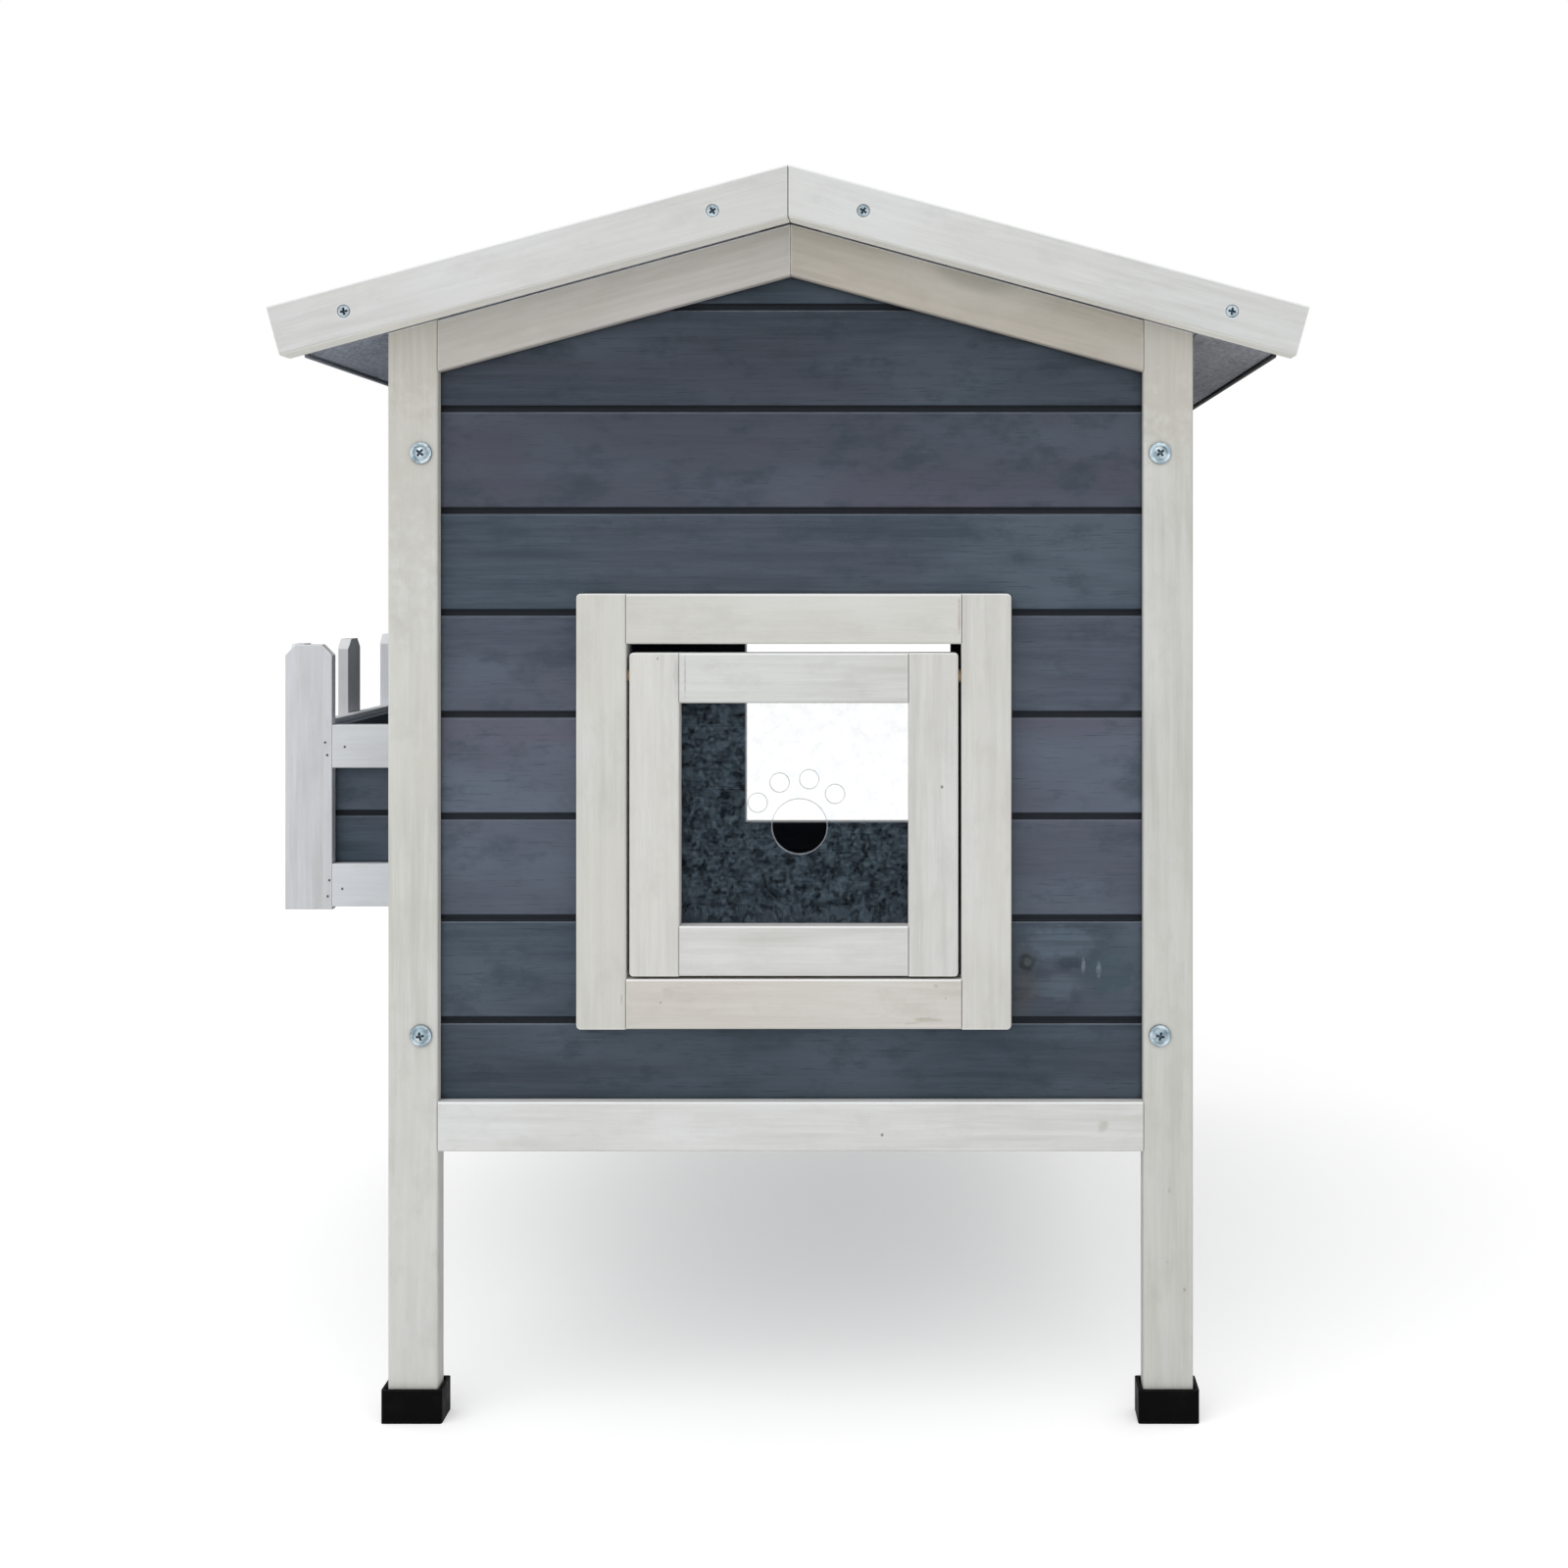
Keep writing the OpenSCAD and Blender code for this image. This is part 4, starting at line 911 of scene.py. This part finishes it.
class CATHOUSE_OT_white_timber(bpy.types.Operator):
    """Washes the frames, trims, flap, bargeboards and pickets in off-white"""

    bl_idname = "cathouse.white_timber"
    bl_label = "White Timber"

    def execute(self, context):
        look = context.scene.cat_house_washed
        marks = washed_marks(look.knot)
        for i, (name, along) in enumerate(washed_members().items()):
            lit = None
            # Painted light on each bargeboard's lower edge
            if "bargeboard" in name:
                down = -off_slope(-1 if along.x < 0 else 1)
                lit = (down, furthest(name, down) - LIT_DEPTH)
            timber(
                name, look, along, 1.0 + i, marks=marks.get(name, ()),
                tint=TINTS.get(name, WHITE), lit=lit,
            )

        trim = "balcony_doorway_trim"
        head = high(trim).z - STRIP
        middle = (low(trim).y + high(trim).y) / 2

        def in_head(finish, place):
            inside = (finish.dot(place, ALONG_Y) - middle).size().under(DOOR_HALF)
            return inside * finish.dot(place, UPRIGHT).over(head)

        timber(
            trim, look, UPRIGHT, 51.0, (ALONG_Y, in_head), boards(y=(0.1, middle - 0.15)),
            tint=COOL_AND_LIT,
        )
        outer = low("balcony_pickets")
        step = picket_step()
        timber(
            "balcony_pickets", look, UPRIGHT, 53.0,
            cell=boards((0.009, outer.x - 0.0005), (step, outer.y + PICKET_MIDDLE - step / 2)),
            tint=COOL_AND_LIT,
        )
        inner = low("balcony_rails").x + SLAT
        timber(
            "balcony_rails", look, ALONG_X, 57.0, (ALONG_Y, past(-ALONG_X, -inner)),
            boards(y=(0.2, -0.5), z=(0.06, 0.27)), tint=COOL_AND_LIT_RAIL,
        )
        foot = low("balcony_battens").z + BATTEN
        timber(
            "balcony_battens", look, ALONG_X, 59.0, (UPRIGHT, past(UPRIGHT, foot)), tint=COOL_AND_LIT
        )
        return {"FINISHED"}


class CATHOUSE_OT_slate_boards(bpy.types.Operator):
    """Stains the cabin's, floor's and balcony's boards in slate grey"""

    bl_idname = "cathouse.slate_boards"
    bl_label = "Slate Boards"

    def execute(self, context):
        look = context.scene.cat_house_stained
        knot = knotty_board(look)
        core = BOARD_THICKNESS / 2
        walls = (
            ("front_boards", ALONG_X, knot, (ALONG_Y, low("front_boards").y + core)),
            ("back_boards", ALONG_X, (), (-ALONG_Y, core - high("back_boards").y)),
            ("left_wall_boards", ALONG_Y, (), (ALONG_X, low("left_wall_boards").x + core)),
            ("right_wall_boards", ALONG_Y, (), (-ALONG_X, core - high("right_wall_boards").x)),
        )
        for i, (name, along, marks, inside) in enumerate(walls):
            timber(
                name, look, along, 71.0 + 6 * i, cell=boards(z=(BOARD_COVER, FIRST_JOINT)),
                marks=marks, groove=(FIRST_JOINT - GROOVE / 2, BOARD_COVER), inside=inside,
                painted_light=PAINTED_LIGHT_BAND,
                warmth=(FIRST_JOINT, BOARD_COVER, WARM_SHARES[i:] + WARM_SHARES[:i]),
            )
        side = low("floor_boards").x
        cover = (high("floor_boards").x - side) / FLOOR_BOARDS
        timber("floor_boards", look, ALONG_Y, 97.0, cell=boards(x=(cover, side)))
        inner = low("balcony_boards").x + SLAT
        joint = low("balcony_rails").z + RAIL_DROP
        timber(
            "balcony_boards", look, ALONG_X, 101.0, (ALONG_Y, past(-ALONG_X, -inner)),
            boards(z=(BALCONY_COVER, joint)), groove=(joint - GROOVE / 2, BALCONY_COVER),
        )
        timber("balcony_floor", look, ALONG_Y, 103.0)
        return {"FINISHED"}


class CATHOUSE_OT_roof_timber(bpy.types.Operator):
    """Stains the roof's boards, battens and the floor's bearers in plain grey"""

    bl_idname = "cathouse.roof_timber"
    bl_label = "Roof Timber"

    def execute(self, context):
        look = context.scene.cat_house_roof_grey
        cover = (high("roof_boards").x - low("roof_boards").x) / ROOF_BOARDS

        def in_rafters(finish, place):
            away = (finish.dot(place, ALONG_X) - RIDGE_X).size()
            return away.over(RAFTERS[0]) * away.under(RAFTERS[1])

        for i, (half, tint) in enumerate(SOFFIT_TINTS.items()):
            name = f"{half}_boards"
            cell = boards(x=(cover, low(name).x))
            timber(name, look, ALONG_Y, 111.0 + i, cell=cell, tint=tint)
            timber(
                f"{half}_battens", look, ALONG_Y, 117.0 + i, (ALONG_X, in_rafters),
                boards(x=(0.15, RIDGE_X - 1.5)), tint=tint,
            )
        timber("floor_bearers", look, ALONG_X, 121.0)
        return {"FINISHED"}


class CATHOUSE_OT_felt(bpy.types.Operator):
    """Covers the felt with fine mineral grit"""

    bl_idname = "cathouse.felt"
    bl_label = "Roof Felt"

    def execute(self, context):
        for name in ("lid_felt", "roof_felt"):
            finish = Finish(f"grit_{name}")
            place = finish.place()
            distance, pick = finish.cells(place, 900.0)
            grit = finish.add("ShaderNodeValToRGB", {"stops": GRIT}, {"Fac": pick})
            finish.colour = grit["Color"]
            wear = finish.noise(place, 9.0, 4.0, 0.6)
            finish.coat(finish.spread(wear, 0.42, 0.70, 0.0, 0.35), (0.050, 0.050, 0.050))
            if name == "lid_felt":
                # The hem's foot and inner face are rubbed grey
                down, out = -off_slope(-1), down_slope(-1)
                foot = furthest(name, down)
                depth = finish.dot(place, down)
                inner = finish.dot(place, out).under(furthest(name, out) - RUBBED)
                hem = depth.over(foot - RUBBED) + depth.over(foot - RUBBED_INSIDE) * inner
                finish.coat(hem.clamped() * 0.9, (0.20, 0.22, 0.26))
            sag = finish.noise(place, 14.0, 2.0, 0.5)
            height = (1.0 - distance) * 0.5 + sag * 1.6
            dress(name, finish.done(
                Roughness=finish.spread(pick, 0.0, 1.0, 0.80, 0.95),
                Normal=finish.bump(height, 0.0012, 0.7),
            ))
        return {"FINISHED"}


class CATHOUSE_OT_metal(bpy.types.Operator):
    """Plates the screws and ridge hinges with zinc"""

    bl_idname = "cathouse.metal"
    bl_label = "Screws and Hinges"

    def execute(self, context):
        names = (
            "frame_screws", "lid_bargeboard_screws", "roof_bargeboard_screws",
            "hinge_fixed_leaves", "hinge_moving_leaves",
        )
        for i, name in enumerate(names):
            dull = 0.30 if "bargeboard" in name else 0.04
            even = 0.75 if "hinge" in name else 0.0
            dress(name, zinc_finish(f"zinc_{name}", float(i), dull, even))
        return {"FINISHED"}


class CATHOUSE_OT_plastics(bpy.types.Operator):
    """Makes the foot caps of black plastic and the pane of hazy clear sheet"""

    bl_idname = "cathouse.plastics"
    bl_label = "Foot Caps and Pane"

    def execute(self, context):
        caps = Finish("moulded_black")
        place = caps.place()
        grain = caps.noise(place, 700.0, 2.0, 0.6)
        dust = caps.noise(place, 70.0, 4.0, 0.65)
        caps.colour = caps.mix(
            caps.spread(dust, 0.50, 0.75, 0.0, 0.30),
            (0.0022, 0.0022, 0.0024), (0.012, 0.012, 0.012),
        )
        caps.coat(caps.edge(caps.rounded(0.0012)) * 0.5, (0.018, 0.018, 0.019))
        dress("foot_caps", caps.done(
            Roughness=caps.spread(dust, 0.3, 0.7, 0.45, 0.62),
            Specular_IOR_Level=0.04,
            Normal=caps.bump(grain, 0.0002, 0.5),
        ))

        pane = Finish("hazy_sheet")
        place = pane.place()
        mottle = pane.noise(place, 150.0, 5.0, 0.68, 0.6)
        fine = pane.noise(place, 380.0, 3.0, 0.6)
        haze = pane.spread(mottle * 0.6 + fine * 0.4, 0.43, 0.60, 0.012, 0.100)
        rim = pane.edge(pane.rounded(0.0012))
        pane.colour = pane.mix(
            pane.spread(fine, 0.35, 0.65), (0.24, 0.36, 0.48), (0.36, 0.50, 0.62)
        )
        pane.coat(rim, (0.30, 0.31, 0.33))
        dress("flap_pane", pane.done(
            Alpha=(haze + rim * 0.95).clamped(),
            Roughness=pane.spread(fine, 0.3, 0.7, 0.10, 0.24),
            IOR=1.49,
            Normal=pane.bump(mottle, 0.0006, 0.25),
        ))
        return {"FINISHED"}


class CATHOUSE_OT_dowels(bpy.types.Operator):
    """Leaves the flap's pivot dowels in bare beech"""

    bl_idname = "cathouse.dowels"
    bl_label = "Pivot Dowels"

    def execute(self, context):
        finish = Finish("bare_beech")
        long_grain = finish.add(
            "ShaderNodeMapping", None, {"Vector": finish.place(), "Scale": Vector((40, 900, 900))}
        )["Vector"]
        grain = finish.noise(long_grain, 1.0, 4.0, 0.6)
        finish.colour = finish.mix(
            finish.spread(grain, 0.3, 0.7), (0.32, 0.20, 0.10), (0.52, 0.36, 0.20)
        )
        dress("flap_pivot_dowels", finish.done(
            Roughness=finish.spread(grain, 0.3, 0.7, 0.5, 0.7),
            Normal=finish.bump(grain, 0.0002, 0.6),
        ))
        return {"FINISHED"}


class CATHOUSE_OT_brads(bpy.types.Operator):
    """Drives the brads of the balcony"""

    bl_idname = "cathouse.brads"
    bl_label = "Brads"

    def execute(self, context):
        near = low("balcony_pickets")
        far = high("balcony_pickets")
        foot = low("balcony_rails").z
        places = [
            ((near.x + x, y, foot + z), (0, side, 0))
            for side, y in ((-1, near.y), (1, far.y)) for x, z in SIDE_BRADS
        ]
        for i in range(4):
            y = near.y + PICKET_MIDDLE + i * picket_step() + BRAD_SHIFT
            places += [((near.x, y, foot + z), (-1, 0, 0)) for z in PICKET_BRADS]
        fence = bmesh.new()
        for place, normal in places:
            add_head(fence, place, normal, context.scene.cat_house_nails.brad, BRAD_HEAD, 8)
        new_piece("balcony_brads", fence, zinc_finish("zinc_brads", 7.0, 0.85), "house")
        return {"FINISHED"}


class CATHOUSE_OT_felt_nails(bpy.types.Operator):
    """Nails the felt down along the eaves and gables"""

    bl_idname = "cathouse.felt_nails"
    bl_label = "Felt Nails"

    def execute(self, context):
        sizes = context.scene.cat_house_nails
        for name, side, body in (("lid_felt", -1, "lid"), ("roof_felt", 1, "house")):
            a, b = low(name), high(name)
            eave = max(abs(a.x - RIDGE_X), abs(b.x - RIDGE_X))
            run = b.y - a.y - 2 * ROW_END
            rows = int(run / sizes.clout_step)
            places = [(eave - EAVE_ROW, a.y + ROW_END + run * i / rows) for i in range(rows + 1)]
            slope = eave - RIDGE_END - EAVE_END
            count = int(slope / sizes.clout_step)
            for y in (a.y + GABLE_ROW, b.y - GABLE_ROW):
                places += [(RIDGE_END + slope * i / count, y) for i in range(count)]
            mesh = bmesh.new()
            normal = off_slope(side)
            for reach, y in places:
                place = on_slope(side, reach, y, b.z) + normal * 0.0001
                add_head(mesh, place, normal, sizes.clout, CLOUT_HEAD, sizes.sides)
            finish = zinc_finish(f"zinc_{name}_nails", 3.0, 0.3, 0.6)
            new_piece(f"{name}_nails", mesh, finish, body)
        return {"FINISHED"}


class CATHOUSE_OT_hinge_screws(bpy.types.Operator):
    """Screws the ridge hinges' leaves down"""

    bl_idname = "cathouse.hinge_screws"
    bl_label = "Hinge Screws"

    def execute(self, context):
        diameter = context.scene.cat_house_nails.hinge_screw
        top = high("roof_felt").z
        hinges = low("hinge_fixed_leaves").y, high("hinge_fixed_leaves").y - HINGE_LENGTH
        for name, side, body in (
            ("hinge_fixed_leaves", 1, "house"), ("hinge_moving_leaves", -1, "lid"),
        ):
            normal = off_slope(side)
            mesh = bmesh.new()
            for start in hinges:
                for along, reach, spin in LEAF_SCREWS:
                    place = on_slope(side, reach, start + along, top) + normal * LEAF
                    add_cross_head(mesh, place, normal, diameter, SCREW_HEAD, spin)
            finish = zinc_finish(f"zinc_{name}_screws", 5.0, 0.35)
            new_piece(f"{name}_screws", mesh, finish, body)
        return {"FINISHED"}


class CATHOUSE_OT_pane_pins(bpy.types.Operator):
    """Holds the pane in the flap's rebate with small pins"""

    bl_idname = "cathouse.pane_pins"
    bl_label = "Pane Pins"

    def execute(self, context):
        a, b = low("flap_pane"), high("flap_pane")
        mesh = bmesh.new()

        def pin(x, z, inward):
            bmesh.ops.create_cone(
                mesh, cap_ends=True, segments=8, radius1=PIN_RADIUS, radius2=PIN_RADIUS,
                depth=PIN_LENGTH, matrix=Matrix.Translation((x, b.y + PIN_OFF, z)) @ facing(inward),
            )

        for share in (0.2, 0.5, 0.8):
            z = a.z + (b.z - a.z) * share
            pin(a.x + PIN_IN, z, ALONG_X)
            pin(b.x - PIN_IN, z, ALONG_X)
            x = a.x + (b.x - a.x) * share
            pin(x, a.z + PIN_IN, UPRIGHT)
            pin(x, b.z - PIN_IN, UPRIGHT)
        new_piece("pane_pins", mesh, zinc_finish("zinc_pane_pins", 9.0), "flap")
        return {"FINISHED"}


def softbox(name, place, size, power):
    """Adds a square lamp that looks at the cabin's middle."""
    lamp = bpy.data.lights.new(name, "AREA")
    lamp.shape = "SQUARE"
    lamp.size = size
    lamp.energy = power
    light = new_object(name, lamp)
    light.location = place
    aim = Vector((0, 0, 0.4)) - Vector(place)
    light.rotation_euler = aim.to_track_quat("-Z", "Y").to_euler()


class CATHOUSE_OT_stage(bpy.types.Operator):
    """Sets the camera, the soft lamps, the pale floor and the white surround"""

    bl_idname = "cathouse.stage"
    bl_label = "Studio"

    def execute(self, context):
        look = context.scene.cat_house_stage
        optics = bpy.data.cameras.new("camera")
        optics.lens = look.camera_lens
        optics.sensor_width = 36.0
        optics.shift_x, optics.shift_y = look.camera_shift
        optics.clip_end = 60.0
        camera = new_object("camera", optics)
        camera.location = look.camera_place
        camera.rotation_euler = (math.radians(90), 0, 0)
        context.scene.camera = camera

        softbox("key", (-1.7, -2.2, 3.0), 3.4, look.key_power)
        softbox("fill", (0.6, -3.4, 1.4), 2.4, look.fill_power)

        paper = Finish("floor_paper")
        lift = paper.for_eye() * look.floor_lift
        matt = paper.add("ShaderNodeBsdfDiffuse", None, {"Color": look.floor_colour})["BSDF"]
        glow = paper.add("ShaderNodeEmission", None, {"Color": WHITE, "Strength": lift})["Emission"]
        both = paper.add("ShaderNodeAddShader", None, {0: matt, 1: glow})["Shader"]
        paper.add("ShaderNodeOutputMaterial", None, {"Surface": both})
        mesh = bmesh.new()
        bmesh.ops.create_grid(mesh, x_segments=2, y_segments=2, size=14.0)
        floor = mesh_object("floor", mesh, paper.material)

        world = bpy.data.worlds.new("surround")
        sky = Nodes(world)
        level = sky.for_eye() * (1.0 - look.sky_strength) + look.sky_strength
        light = sky.add("ShaderNodeBackground", None, {"Color": WHITE, "Strength": level})
        sky.add("ShaderNodeOutputWorld", None, {"Surface": light["Background"]})
        context.scene.world = world
        context.scene.view_settings.view_transform = "Standard"
        return {"FINISHED"}


STEPS = (
    CATHOUSE_OT_white_timber,
    CATHOUSE_OT_slate_boards,
    CATHOUSE_OT_roof_timber,
    CATHOUSE_OT_felt,
    CATHOUSE_OT_metal,
    CATHOUSE_OT_plastics,
    CATHOUSE_OT_dowels,
    CATHOUSE_OT_brads,
    CATHOUSE_OT_felt_nails,
    CATHOUSE_OT_hinge_screws,
    CATHOUSE_OT_pane_pins,
    CATHOUSE_OT_stage,
)


class CATHOUSE_PT_panel(bpy.types.Panel):
    """Lists the steps that dress the cat house"""

    bl_idname = "CATHOUSE_PT_panel"
    bl_label = "Cat House"
    bl_space_type = "VIEW_3D"
    bl_region_type = "UI"
    bl_category = "Cat House"

    def draw(self, context):
        column = self.layout.column(align=True)
        for step in STEPS:
            column.operator(step.bl_idname)


CLASSES = (TimberLook, StageLook, NailSizes) + STEPS + (CATHOUSE_PT_panel,)
GROUPS = {
    "cat_house_washed": TimberLook,
    "cat_house_stained": TimberLook,
    "cat_house_roof_grey": TimberLook,
    "cat_house_stage": StageLook,
    "cat_house_nails": NailSizes,
}


def register():
    for cls in CLASSES:
        bpy.utils.register_class(cls)
    for name, group in GROUPS.items():
        setattr(bpy.types.Scene, name, PointerProperty(type=group))


def unregister():
    for name in GROUPS:
        delattr(bpy.types.Scene, name)
    for cls in reversed(CLASSES):
        bpy.utils.unregister_class(cls)


def main():
    register()
    scene = bpy.context.scene
    for look, values in ((scene.cat_house_stained, SLATE), (scene.cat_house_roof_grey, ROOF_GREY)):
        for key, value in values.items():
            setattr(look, key, value)
    for step in STEPS:
        group, name = step.bl_idname.split(".")
        getattr(getattr(bpy.ops, group), name)()


if __name__ == "__main__":
    main()
